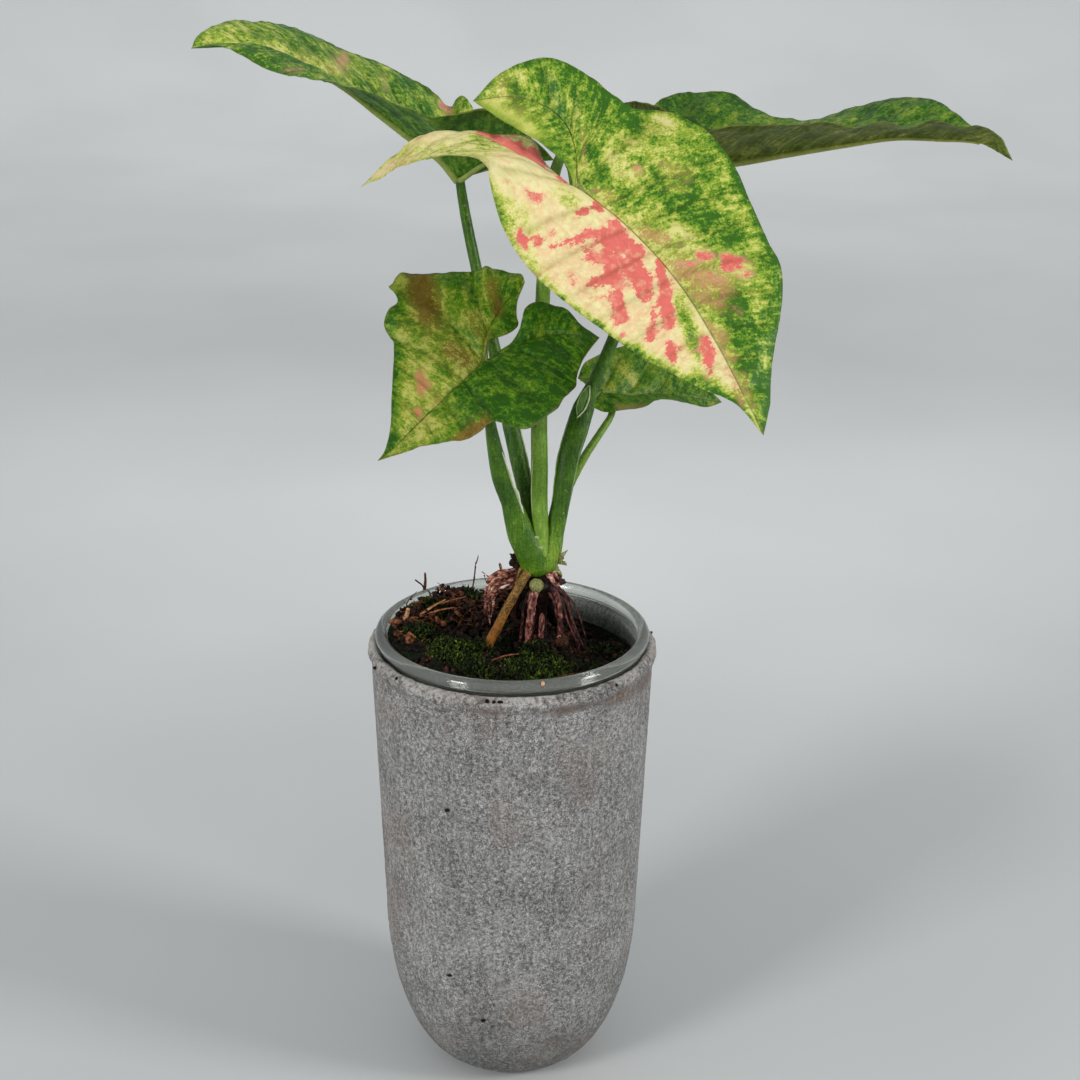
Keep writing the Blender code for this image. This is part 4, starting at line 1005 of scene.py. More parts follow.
def point_values(mesh, name):
    values = np.zeros(len(mesh.vertices), np.float32)
    mesh.attributes[name].data.foreach_get("value", values)
    return values


def raise_relief(mesh):
    """Push each point out along its normal by its relief, in millimetres."""
    count = len(mesh.vertices)
    places, normals = np.zeros(count * 3, np.float32), np.zeros(count * 3, np.float32)
    mesh.vertices.foreach_get("co", places)
    mesh.vertex_normals.foreach_get("vector", normals)
    lift = np.repeat(point_values(mesh, "relief"), 3) * MM
    mesh.vertices.foreach_set("co", places + normals * lift)


def pack_grain(mesh):
    """Direction along and across the veins as one vector for the streaks."""
    layer = mesh.attributes.new("grain", "FLOAT_VECTOR", "POINT")
    phase, away = point_values(mesh, "phase"), point_values(mesh, "away")
    layer.data.foreach_set("vector", np.stack([phase, away, np.zeros_like(phase)], axis=1).ravel())


def thicken(obj):
    """Give the sheet its thickness, less at the margin, with the under finish on its back."""
    group = obj.vertex_groups.new(name="inside")
    for index, weight in enumerate(point_values(obj.data, "inside")):
        group.add([index], float(weight), "REPLACE")
    solid = obj.modifiers.new("thickness", "SOLIDIFY")
    for key, value in dict(thickness=BLADE * MM, offset=0.0, material_offset=1, material_offset_rim=0,
                           vertex_group="inside").items():
        setattr(solid, key, value)
    depsgraph = bpy.context.evaluated_depsgraph_get()
    mesh = bpy.data.meshes.new_from_object(obj.evaluated_get(depsgraph))
    obj.modifiers.clear()
    obj.data = mesh


def rib_piece(name, ribs, finish):
    """Raised ribs on the underside, thick at the stalk and fading to the tips."""
    shape = Shape()
    for line, up in ribs:
        main = line is ribs[-1][0]
        reach = reach_along(line)
        from_stalk = reach if main else reach[-1] - reach
        size = 1.0 * (1 - from_stalk / from_stalk.max()) ** 0.7 + 0.12
        size = size if main else size * 0.75
        path = line - up * (size * 0.55 + 0.35)[:, None]
        keep = slice(0, -12) if main else slice(5, None)
        shape.add(tube_mesh(path[keep], size[keep], size[keep] * 0.8, 10), green=0.2, phase=0.0)
    shape.piece(name + "_ribs", [finish], name)


def build_stalk(name, stalk, finish):
    base = SHEATH_BASES.get(name, [])
    line = [place for place, _ in base] + stalk["line"] + [LEAVES[name.replace("stalk", "leaf")]["midrib"][0]]
    wide = [size for _, size in base] + stalk["half_width"]
    deep = [size * 0.9 for _, size in base] + stalk["half_depth"]
    if name in WRAPPED:
        line[len(base)], wide[len(base)], deep[len(base)] = WRAPPED[name]
    wide, deep = (sizes + [sizes[-1] * 0.9] for sizes in (wide, deep))
    body = tube_mesh(*grown_line(line, wide, deep, 10), 22, level=True, rough=0.05, seed=len(line))
    height = body[0][:, 2]
    light = 0.08 * np.clip((200 - height) / 40, 0, 1)
    light = light + FOOT_LIGHT.get(name, 0) * np.clip((176 - height) / 14, 0, 1)
    one_body(name + "_skin", body, finish, name, light=light)


# Foot of each stalk, where it wraps the crown: place and half width. Then the place, half width and
# half depth where it leaves the crown, and how much lighter its foot is
SHEATH_BASES = {
    "stalk_lower_left": [((7.2, -1.9, 158.2), 2.8), ((6.8, -2.3, 160.5), 4.4), ((5.3, -2.9, 165.0), 4.5)],
    "stalk_upper_right": [((8.6, -1.3, 158.6), 2.6), ((9.2, -1.6, 160.8), 3.9), ((10.8, -1.5, 165.0), 3.4)],
    "stalk_front": [((8.7, -3.2, 162.0), 0.9), ((8.6, -4.1, 165.2), 1.6)],
    "stalk_upper_left": [((6.4, 1.6, 162.0), 2.4)],
    "stalk_lower_right": [((9.6, 2.8, 162.0), 1.6)],
}
WRAPPED = {
    "stalk_lower_left": ((2.7, -3.2, 170.3), 4.1, 3.2),
    "stalk_upper_right": ((12.0, -0.8, 170.3), 2.8, 2.6),
    "stalk_front": ((8.2, -3.0, 170.3), 2.2, 2.2),
}
FOOT_LIGHT = {"stalk_lower_left": 0.16, "stalk_upper_right": 0.36, "stalk_front": 0.1}


def ribbon_mesh(line, outward, width, thickness=0.22):
    """Thin closed strip along a line, leaning outward by its width at each point, and its tone."""
    ahead = unit(np.gradient(line, axis=0))
    flat = unit(np.cross(ahead, outward))
    rings = []
    for p, n, w in zip(line, flat, width):
        half, out = n * thickness / 2, outward * w
        rings.append([p + half, p + out * 0.5 + half * 0.9, p + out + half * 0.25, p + out - half * 0.25,
                      p + out * 0.5 - half * 0.9, p - half])
    sides, count = 6, len(line)
    ends = [tuple(range(sides))[::-1], tuple((count - 1) * sides + s for s in range(sides))]
    tone = np.tile([0.35, 0.6, 1.0, 1.0, 0.6, 0.35], count)
    return (np.array(rings).reshape(-1, 3), ring_faces(count, sides) + ends), tone


# Thin free edges of the sheaths: stalk, first and last point of its line, direction, width and paleness
SHEATH_EDGES = [("stalk_lower_left", 0.4, 3, (1, -0.5, 0), 1.3, 1),
    ("stalk_lower_left", 0.5, 3.4, (-1, 0.3, 0), 0.5, 0.7),
    ("stalk_upper_left", 1, 3.6, (1, -0.4, 0), 0.7, 0.8),
    ("stalk_upper_right", 1, 5.2, (-1, -0.3, 0), 0.7, 0.6),
    ("stalk_upper_right", 0.8, 4.6, (1, -0.5, 0), 0.4, 0.5),
    ("stalk_lower_right", 0.6, 2.6, (1, -0.3, 0), 0.5, 0.6),
    ("stalk_front", 0.6, 2.4, (-1, -0.6, 0), 0.5, 0.7)]


def build_sheath_edges(finish):
    shape = Shape()
    steps = 12
    for index, (name, first, last, outward, width, pale) in enumerate(SHEATH_EDGES):
        stalk = STALKS[name]
        line, wide, deep = grown_line(stalk["line"], stalk["half_width"], stalk["half_depth"], steps)
        part = slice(int(first * steps), int(last * steps) + 1)
        way = unit(np.array(outward, float))
        size = np.hypot(wide[part] * way[0], deep[part] * way[1])
        path = line[part] + way * (size * 0.93)[:, None]
        shares = np.linspace(0, 1, len(path))
        flare = width * np.sin(math.pi * np.clip(shares, 0.02, 0.98)) ** 0.6
        body, tone = ribbon_mesh(path, way, flare * (1 + 0.35 * lumps(path, 1.8, index)))
        shape.add(body, tone=tone * pale)
    for line, wide, deep, tone in SHEATH_TIP:
        shape.add(tube_mesh(smooth_line(line, 10), grown(wide, 10), deep, 14), tone=tone)
    shape.piece("sheath_edges", [finish], "stalk_upper_right", False)


# Free tip of a sheath beside the upper right stalk: line, half widths, half thickness and tone
SHEATH_TIP = [
    ([(18.6, 1.4, 204.4), (18.9, 2, 207.4), (20.2, 3, 210.6), (21.4, 4, 212.6)], [0.6, 1.15, 1, 0.3],
     0.15, 0.12),
    ([(18, 0.6, 204.2), (20.2, 1.6, 206.4), (21.4, 2.6, 209.4), (21.6, 3.6, 212.8)], [0.16, 0.22, 0.22, 0.12],
     0.2, 0.75),
    ([(18.2, 1.2, 204.4), (17.9, 1.8, 207.2), (19.2, 2.8, 210.6), (21.4, 3.8, 212.9)],
     [0.14, 0.16, 0.16, 0.1], 0.16, 0.4)]


def build_pot(finish):
    lip_inside = WALL_TOP_RADIUS - POT_WALL + 0.1
    lip = [(LIP_RADIUS - 0.2, LIP_HEIGHT - 1.5), (LIP_RADIUS, LIP_HEIGHT),
           (LIP_RADIUS - 0.6, LIP_HEIGHT + 1.4), (LIP_RADIUS - 1.6, LIP_CREST),
           (lip_inside + 1.0, LIP_CREST - 0.4), (lip_inside, LIP_HEIGHT + 0.2)]
    outside = spread_rows(bowl(0.0, 40) + lip, POT_ROWS)
    inside = spread_rows(bowl(POT_WALL, 12)[::-1], 24)
    profile = outside + inside[1:]
    amount = [0.0] * 3 + [POT_ROUGH] * (POT_ROWS - 3) + [0.0] * (len(profile) - POT_ROWS)
    rough = [(a if z > 1.2 else 0.0) for a, (r, z) in zip(amount, profile)]
    rough[POT_ROWS - 5:POT_ROWS + 1] = [POT_ROUGH * 1.4] * 4 + [0.0] * 2
    points, faces = lathe_mesh(profile, POT_COLUMNS, rough)
    near_lip = np.clip((points[:, 2] - 129.0) / 4.0, 0, 1)[:, None] * points * (1, 1, 0) / LIP_RADIUS
    swell = 0.35 * lumps(points, 3.2, 2.0) + 0.2 * lumps(points, 1.3, 6.0) - 0.25
    points = points + near_lip * swell[:, None]
    turn = np.degrees(np.arctan2(points[:, 0], -points[:, 1]))
    stain = np.zeros(len(points))
    for angle, height, wide, tall, strength in RIM_STAINS:
        stain += strength * np.exp(-((turn - angle) / wide) ** 2 - ((points[:, 2] - height) / tall) ** 2)
    one_body("pot_cement", (points, faces), finish, "pot_outer", stain=stain)


# Brown stains below the lip: degrees to the right of the front, height, half width, half height and strength
RIM_STAINS = [(22, 132, 14, 1.6, 0.9), (48, 131, 10, 3, 0.8), (70, 130, 14, 4, 0.7), (-48, 132, 8, 2, 0.6),
    (-8, 132.5, 8, 1.2, 0.8), (-120, 131.5, 20, 2.5, 0.6), (150, 131, 16, 3, 0.6)]


def build_cup(finish):
    bead = []
    for degrees in range(-80, 201, 14):
        angle = math.radians(degrees)
        bead.append((CUP_RADIUS - RIM_BEAD + RIM_BEAD * math.cos(angle),
                     CUP_HEIGHT - RIM_BEAD + RIM_BEAD * math.sin(angle)))
    step = [(STEP_RADIUS + out, STEP_HEIGHT + rise)
            for out, rise in ((1.2, 0.6), (0.5, 0.25), (0.1, -0.1), (0.0, -0.6), (0.0, -1.8))]
    outer = bowl(POT_WALL + CUP_PLAY, 24)
    inner = bowl(POT_WALL + CUP_PLAY + CUP_WALL, 24)[::-1]
    one_body("cup_plastic", lathe_mesh(outer + bead + step + inner, 160), finish, "cup_clear")


def mix_height(x, y):
    dip_x, dip_y = MIX_DIP_CENTRE
    dip = MIX_DIP * np.exp(-((x - dip_x) ** 2 + (y - dip_y) ** 2) / MIX_DIP_REACH ** 2)
    heap_x, heap_y = MIX_HEAP_CENTRE
    heap = MIX_HEAP * np.exp(-((x - heap_x) ** 2 + (y - heap_y) ** 2) / MIX_HEAP_REACH ** 2)
    wavy = 0.7 * np.sin(0.31 * x + 1.0) * np.cos(0.27 * y) + 0.5 * np.sin(0.23 * (x + y))
    return MIX_LEVEL - MIX_FALL * x + wavy - dip + heap


def build_mix(finish):
    inset = POT_WALL + CUP_PLAY + CUP_WALL + MIX_GAP
    wall = bowl(inset, 12)
    wall[-1] = (wall[-1][0] - 0.1, WALL_TOP_HEIGHT - 3.0)
    rings = 70
    top = [(MIX_EDGE_RADIUS, WALL_TOP_HEIGHT - 1.5)]
    top += [(MIX_EDGE_RADIUS * (1 - i / rings), CUP_HEIGHT) for i in range(rings)] + [(0.0, CUP_HEIGHT)]
    points, faces = lathe_mesh(wall + top, 200)
    upper = points[:, 2] > CUP_HEIGHT - 0.01
    x, y = points[upper, 0], points[upper, 1]
    edge = np.clip((MIX_EDGE_RADIUS - np.hypot(x, y)) / 3.0, 0.15, 1)
    rough = lumps(points[upper], 4.0) * 1.1 + lumps(points[upper], 1.6, 2.0) * 0.6
    hollow = 2.2 * np.exp(-((x + 1.5) ** 2 + (y + 2.0) ** 2) / 42.0)
    points[upper, 2] = mix_height(x, y) + rough * edge - hollow - 0.4
    one_body("mix_soil", (points, faces), finish, "potting_mix")


def on_mix(x, y, lift=0.0):
    return np.array([x, y, float(mix_height(x, y)) + lift])


def draw(rng, *ranges):
    """A point drawn with each of its numbers in its own range."""
    return np.array([rng.uniform(low, high) for low, high in ranges])


def crumb_mesh(rng, centre, size, stretch, fine=1):
    """A small irregular lump."""
    bm = bmesh.new()
    bmesh.ops.create_icosphere(bm, subdivisions=fine, radius=1.0)
    turn = Matrix.Rotation(rng.uniform(0, 6.3), 3, Vector(draw(rng, (-1, 1), (-1, 1), (0.1, 1))))
    points = []
    for vert in bm.verts:
        p = vert.co * rng.uniform(0.72, 1.18) * size
        p.x *= stretch
        points.append(np.array(turn @ p) + centre)
    faces = [tuple(v.index for v in face.verts) for face in bm.faces]
    bm.free()
    return points, faces


def spike_mesh(base, tip, bend, radius, sides=3):
    """A small pointed leaf or hair, round in section, from its base to its tip."""
    base, tip = np.array(base, float), np.array(tip, float)
    middle = (base + tip) / 2 + bend
    ahead = unit(tip - base)
    across = unit(np.cross(ahead, [0.3, 0.5, 0.8]))
    up = np.cross(ahead, across)
    points = []
    for centre, size in ((base, radius * 0.7), (middle, radius)):
        for s in range(sides):
            a = 2 * math.pi * s / sides
            points.append(centre + (across * math.cos(a) + up * math.sin(a)) * size)
    points.append(tip)
    faces = [tuple(range(sides))[::-1]]
    for s in range(sides):
        r = (s + 1) % sides
        faces.append((s, r, sides + r, sides + s))
        faces.append((sides + s, sides + r, 2 * sides))
    return points, faces


# Moss cushions on the mix: centre x and y, radius, height, number of shoots and tone
MOSS = [(-17, -13, 9, 3.2, 900, 0.5), (-10, -23, 7.5, 2.2, 600, 0.36), (8, -19, 11, 3.4, 1300, 0.46),
    (1, -27, 8, 2, 500, 0.34), (17, -25, 8, 2.2, 600, 0.36), (24, -14, 9, 2, 500, 0.28),
    (7, -9.5, 6, 5, 560, 0.3), (-9, -11, 4, 3.4, 260, 0.36), (-27, -3, 6, 4, 520, 0.36),
    (-23, 13, 7, 5.2, 700, 0.36), (-13, 24, 5, 5, 420, 0.38), (13, -6, 4, 3.4, 260, 0.24),
    (-24, 16, 9, 2.2, 500, 0.3), (-8, 24, 10, 2, 450, 0.3), (12, 27, 9, 1.8, 350, 0.24),
    (28, 4, 7, 1.6, 300, 0.24), (-29, -6, 6, 1.8, 300, 0.3), (-20, 30, 7, 2.4, 300, 0.34)]


def build_moss(finish):
    rng = random.Random(11)
    shape = Shape()
    for cx, cy, radius, height, count, tone in MOSS:
        for _ in range(count):
            share = math.sqrt(rng.random())
            angle = rng.uniform(0, 2 * math.pi)
            x, y = cx + radius * share * math.cos(angle), cy + radius * share * math.sin(angle)
            if math.hypot(x, y) > MIX_EDGE_RADIUS - 1.0:
                continue
            swell = height * (1 - share ** 2)
            base = on_mix(x, y, swell - 1.2 + 0.6 * math.sin(x * 1.9) * math.cos(y * 1.7))
            length = rng.uniform(0.9, 2.1)
            tip = base + unit(draw(rng, (-1, 1), (-1, 1), (0.4, 1.3))) * length
            bend = draw(rng, (-0.25, 0.25), (-0.25, 0.25), (0, 0.3))
            shoot = spike_mesh(base, tip, bend, rng.uniform(0.16, 0.34))
            shade = tone + rng.uniform(-0.24, 0.34) + 0.12 * math.sin(x * 0.9 + y) * math.cos(y * 0.8)
            shape.add(shoot, tone=[shade - 0.25] * 3 + [shade] * 3 + [shade + 0.2])
    shape.piece("moss", [finish], "potting_mix", False)


def build_crumbs(finish):
    """Crumbs, chips of bark and fibres that lie on the mix."""
    rng = random.Random(23)
    shape, flecks = Shape(), Shape()
    for _ in range(1500):
        reach, angle = MIX_EDGE_RADIUS * 0.98 * math.sqrt(rng.random()), rng.uniform(0, 2 * math.pi)
        x, y = reach * math.cos(angle), reach * math.sin(angle)
        size = rng.uniform(0.3, 0.95)
        shape.add(crumb_mesh(rng, on_mix(x, y, rng.uniform(-0.5, 0.5)), size, rng.uniform(1.0, 1.9)),
                  tone=rng.choice((0.0, 0.05, 0.1, 0.15, 0.3)))
    for cx, cy, spread, count, low, high, tone in BARK_HEAPS:
        for _ in range(count):
            x, y = rng.gauss(cx, spread), rng.gauss(cy, spread)
            if math.hypot(x, y) > MIX_EDGE_RADIUS - 0.8:
                continue
            centre = on_mix(x, y, rng.uniform(0.2, high))
            shape.add(crumb_mesh(rng, centre, rng.uniform(0.35, 0.9), rng.uniform(1.4, 3.2)),
                      tone=tone + rng.uniform(-0.25, 0.25))
            if rng.random() < 0.75:
                add_fibre(shape, rng, centre, rng.uniform(low, low * 2.4), tone + rng.uniform(-0.1, 0.35))
    for centre, size, stretch, tone in FLECKS:
        flecks.add(crumb_mesh(rng, centre, size, stretch, 2), tone=tone)
    for start, end, radius, tone in STICKS:
        middle = (np.array(start) + end) / 2 + [0.3, 0.2, 0.5]
        stick = rod([start, middle, end], 6, radius, radius * 0.45, 7, 0.6, rough=0.15, seed=radius)
        shape.add(stick, tone=tone)
    shape.piece("bark_and_fibres", [finish], "potting_mix", False)
    flecks.piece("pot_flecks", [finish], "pot_outer", False)


# Bits of soil and bark on the pot and on the cup's rim: centre, size, stretch and tone
FLECKS = [((-17.9, -35.9, 99), 0.55, 2, 0.12), ((-17.5, -33.6, 43.2), 0.5, 2, 0.1),
    ((-7.8, -35.1, 28.7), 0.5, 1.4, 0), ((-31.9, -26.6, 135.7), 0.5, 1.4, 0.05),
    ((-6.3, -41.1, 135.8), 0.6, 1.8, 0), ((-4.4, -41.4, 135.6), 0.5, 1.6, 0.05),
    ((-2.6, -41.5, 135.7), 0.5, 2, 0), ((9, -38.7, 140), 0.6, 1.6, 0.95),
    ((29.5, -29.3, 135.4), 0.4, 1.5, 0.1), ((-38.9, -16.6, 134.4), 0.5, 1.6, 0.08),
    ((41, 9, 134.6), 0.5, 1.7, 0.1), ((-21.5, 35.4, 135.6), 0.4, 1.6, 0.05)]


def add_fibre(shape, rng, start, length, tone):
    way = unit(draw(rng, (-1, 1), (-1, 1), (-0.15, 0.55)))
    side = unit(np.cross(way, [0.1, 0.2, 1.0]))
    line = [start - way * length * 0.4, start + side * rng.uniform(-0.5, 0.5), start + way * length * 0.6]
    line = [p if math.hypot(p[0], p[1]) < MIX_EDGE_RADIUS - 0.4 else
            np.array([*(p[:2] * (MIX_EDGE_RADIUS - 0.5) / math.hypot(p[0], p[1])), p[2]]) for p in line]
    path = smooth_line(line, 3)
    wide, deep = np.linspace((0.2, 0.16), (0.08, 0.06), len(path)).T
    shape.add(tube_mesh(path, wide, deep, 4), tone=tone)


# Heaps of bark and fibre: centre x and y, spread, number, fibre length, heap height and tone
BARK_HEAPS = [(9, -7, 2.2, 50, 1.2, 4, 0.14), (-19, 16, 4.5, 170, 2.4, 3.4, 0.26),
    (-12, 26, 4, 80, 2, 3, 0.2), (-29, 2, 3, 60, 1.8, 2, 0.34), (-24, 9, 4, 80, 3, 2, 0.36),
    (-4, 8, 4, 110, 2, 3.5, 0.16), (14, -3, 3, 40, 1.6, 1.6, 0.2), (4, 30, 6, 60, 2, 1.6, 0.2),
    (22, 20, 7, 40, 1.6, 1, 0.1), (-30, -7, 2.2, 30, 1.6, 1.4, 0.45)]

# Single sticks and chips: start, end, radius and tone
STICKS = [((-32, 5, 139), (-30.6, 3, 144.6), 0.95, 0.95), ((-29.5, 4, 140.2), (-20, 11.5, 144), 0.5, 0.85),
    ((-28, 7, 140), (-17, 9, 142.5), 0.45, 0.75), ((-25, 12, 140.5), (-14, 15, 143.5), 0.4, 0.7),
    ((-27.6, 30, 138), (-27, 29, 145.5), 0.6, 0.45), ((-26, 29, 138), (-30, 28, 143.5), 0.45, 0.3),
    ((-13, 26, 139), (-11.4, 24, 151), 0.35, 0.4), ((-11.4, 24, 150.4), (-10.6, 24, 154), 0.22, 0.5),
    ((-6, 12, 140), (-8.5, 10, 152.5), 0.3, 0.2), ((-2, 9, 142), (-4, 8, 157), 0.35, 0.15),
    ((0, 6, 142), (0.5, 5, 161), 0.9, 0.12), ((1.5, 5, 143), (2.6, 4, 160), 0.7, 0.22),
    ((12, -24, 135), (23, -20, 134.8), 0.3, 0.4), ((-6, -16, 136.5), (2, -12, 137), 0.35, 0.55)]


def build_crown(finish, highlight_finish, bark, olive, root):
    """Short stem inside the stalks' wrapped feet, with two pale spots of painted highlight, torn scales, and
    dark lumps of painted shade behind the roots.
    """
    x, y = STEM
    line = [(x, y - 0.2, 157.4), (x, y - 0.2, 158.6), (x, y, 160.5), (x, y + 0.2, 164.5), (x, y + 0.6, 168.5),
            (x, y + 0.6, 171.0)]
    core = grown_line(line, [2.6, 4.2, 4.9, 5.2, 4.6, 3.4], [2.4, 3.8, 4.2, 4.4, 3.8, 3.0], 8)
    one_body("crown_skin", tube_mesh(*core, 64, level=True, rough=0.15), finish, "stem_crown", light=0.12)
    marks = Shape()
    # Painted highlights: two small pale spots on the front of the crown.
    for centre, wide, tall in (((6.9, -4.9, 170.2), 0.9, 0.45), ((8.2, -5.45, 167.2), 0.75, 0.5)):
        oval, oval_faces = lathe_mesh([(0.0, -1.0), (0.6, -0.8), (1.0, 0.0), (0.6, 0.8), (0.0, 1.0)], 12)
        marks.add((oval * (wide, 0.3, tall) + centre, oval_faces), tone=0.55)
    marks.piece("crown_highlight_spots", [highlight_finish], "stem_crown", False)
    rng = random.Random(5)
    scales = Shape()
    for base, tip, width, kind, tone in SCALES:
        base, tip = np.array(base, float), np.array(tip, float)
        path = smooth_line([base, (base + tip) / 2 + [0, -0.4, 0.3], tip], 5)
        size = width * np.array([0.8, 1.05, 0.9, 1.15, 0.9, 1.0, 0.7, 0.75, 0.5, 0.4, 0.15])
        scale = tube_mesh(path, size, 0.3, 10, rough=0.32, seed=rng.random() * 9)
        scales.add(scale, kind, tone=tone, light=tone)
    for centre, size, stretch, kind, tone in KNOBS:
        scales.add(crumb_mesh(rng, centre, size, stretch, 2), kind, tone=tone, light=tone)
    scales.piece("crown_scales", [bark, olive, root], "stem_crown", False)


# Torn scales at the foot of the crown: base, tip, half width, kind (0 dark, 1 olive, 2 pinkish) and tone
SCALES = [((12.4, -2.6, 161.6), (15.9, -2.8, 165.6), 0.7, 1, 0.1),
    ((12.6, -2.6, 162.4), (15.6, -3, 161.2), 0.9, 1, 0),
    ((12.4, -2.8, 163.6), (14.8, -2.8, 162.8), 1.2, 1, -0.1),
    ((12.2, -2.6, 160.4), (14.2, -3.2, 157.8), 0.8, 1, 0.2),
    ((2.2, -2.2, 161.6), (-0.8, -2.4, 164.2), 0.7, 0, 0.15),
    ((2.4, -2, 160.4), (-0.4, -2.4, 160.8), 0.8, 0, 0.2), ((10, 3.4, 160), (13, 6.4, 163.4), 1.2, 0, 0.4),
    ((5, 3.6, 160), (3, 6.8, 162.8), 1.1, 0, 0.3), ((10.2, -4, 158.6), (12.2, -4.8, 156.2), 0.8, 2, 0.35),
    ((11.2, -3.6, 158.8), (13.4, -4, 157.4), 0.7, 2, 0.3)]

# Lumps at the foot of the crown: centre, size, stretch, kind and tone. The six big dark lumps from (3.6, 3.6,
# 150.4) to (14, 3.6, 142) stand behind the roots as painted shade.
KNOBS = [((1.4, -1.8, 162.8), 1.2, 1.2, 0, 0.15), ((0.4, -2, 163.2), 0.9, 1.3, 0, 0.25),
    ((0.2, -2.2, 161.4), 1.1, 1.2, 0, 0.1), ((1.4, -2.6, 160.4), 1.1, 1.3, 0, 0.2),
    ((13, -2.6, 157.2), 1.4, 1.2, 2, -0.1), ((14, -2.6, 155.8), 1.1, 1.3, 2, -0.2),
    ((12.6, -2.8, 155.2), 1.2, 1.2, 2, 0), ((14.6, -5.5, 138.4), 2.1, 1.05, 0, 0.32),
    # From (3.6, 3.6, 150.4) on: big dark lumps behind the roots, painted shade.
    ((13.6, -6.6, 140.2), 0.5, 1.4, 2, 0.05), ((3.6, 3.6, 150.4), 2.6, 1.2, 0, -0.1),
    ((11, 3.8, 150.4), 2.6, 1.2, 0, -0.1), ((7.4, 4.2, 153), 2.6, 1.2, 0, -0.1),
    ((5, 2.6, 146), 3.2, 1.2, 0, -0.1), ((11, 2.8, 146), 3.2, 1.2, 0, -0.1),
    ((14, 3.6, 142), 3, 1.2, 0, -0.1), ((8.6, -4.4, 155.2), 1.5, 1.3, 2, -0.3),
    ((5.6, -3.6, 154.6), 1.6, 1.3, 2, -0.25), ((10.6, -3.8, 154.2), 1.3, 1.3, 2, -0.3)]


def build_roots(root, ochre):
    rng = random.Random(31)
    shape = Shape()
    x, y = STEM
    stub = smooth_line([(x, y, 158.5), (x, y, 152.0), (x, y + 0.6, 145.0), (x, y + 0.6, 128.0)], 8)
    size = np.interp(np.arange(len(stub)), (0, 8, 16, 24), (3.9, 3.0, 2.0, 2.2))
    # Painted shade: the stub is coloured near black, as it stands in shade behind the roots.
    shape.add(tube_mesh(stub, size, size, 28, level=True, rough=0.5, seed=2.0), tone=-0.32)
    for index, ((line, radius), (tone, first, swelling)) in enumerate(zip(PROP_ROOTS, ROOT_LOOKS)):
        path = smooth_line(line, 12)[first:]
        size = radius * (0.88 + swelling * np.exp(-np.arange(len(path)) / 8.0))
        size *= 1 + 0.22 * lumps(path, 2.0, index)
        size[:4] *= (0.35, 0.7, 0.9, 0.98)
        shape.add(tube_mesh(path, size, size, 16, rough=0.22, seed=index + 3.0), tone=tone)
        for _ in range(16):
            root_hair(shape, rng, path, radius)
    for line, radius in THIN_ROOTS:
        shape.add(rod(line, 8, radius, radius * 0.6, 9, rough=0.1, seed=radius * 7), tone=-0.1)
    shape.piece("root_bundle", [root], "root_base")
    aerial = Shape()
    line, radius = AERIAL_ROOT
    path = smooth_line(line, 14)
    size = radius * (1 + 0.07 * lumps(path, 3.0, 8.0)) * np.linspace(0.84, 0.98, len(path))
    aerial.add(tube_mesh(path, size, size, 20, rough=0.1, seed=4.0))
    second = [(3.4, -3.6, 161.0), (2.2, -4.4, 159.8), (1.6, -4.9, 157.4), (1.0, -5.2, 155.4)]
    aerial.add(rod(second, 8, 0.7, 0.35, 12))
    aerial.piece("aerial_root_skin", [ochre], "aerial_root")


def root_hair(shape, rng, path, radius):
    start = path[rng.randrange(len(path) // 4, len(path))]
    angle = rng.uniform(0, 2 * math.pi)
    way = np.array([math.cos(angle), math.sin(angle), rng.uniform(-0.9, 0.2)])
    base = start + way * radius * 0.8
    shape.add(spike_mesh(base, base + unit(way) * rng.uniform(0.5, 1.6), way * 0.1, rng.uniform(0.05, 0.12)))


# Look of each prop root: tone, first step of its line that shows, and swelling at its top
ROOT_LOOKS = [(0.12, 0, 0.7), (0.06, 20, 0), (-0.02, 0, 0.4), (-0.14, 0, 0.3), (-0.2, 0, 0.3),
    (-0.24, 0, 0.3)]

# Thin side roots: line and radius
THIN_ROOTS = [([(9.6, -2.4, 153.6), (11, -3.6, 152), (12.2, -3.8, 149), (12.8, -3.4, 145)], 0.5),
    ([(11.5, -2, 153), (15.6, -2.6, 149), (17.6, -3.4, 143.5), (20.5, -4, 136.5)], 0.4),
    ([(10.8, -1, 154), (16.6, -1, 150), (19.6, -1.6, 144), (21.6, -1, 137)], 0.35),
    ([(11.8, -2.4, 153), (14.6, -3.4, 149.6), (15.8, -4, 145), (18.6, -4.6, 138)], 0.35),
    ([(5, -2.4, 152), (3.4, -3.8, 148), (3, -4, 144), (2.2, -3.8, 136)], 0.65),
    ([(12, 3, 153), (16, 5, 148), (17.4, 7, 141), (19, 8, 132)], 0.5),
    ([(5, 3, 153), (2, 6, 149), (1, 8, 142), (-1, 9, 134)], 0.5),
    ([(8, 3.4, 153), (7, 7, 148), (7.6, 9.4, 140), (7, 11, 132)], 0.55)]


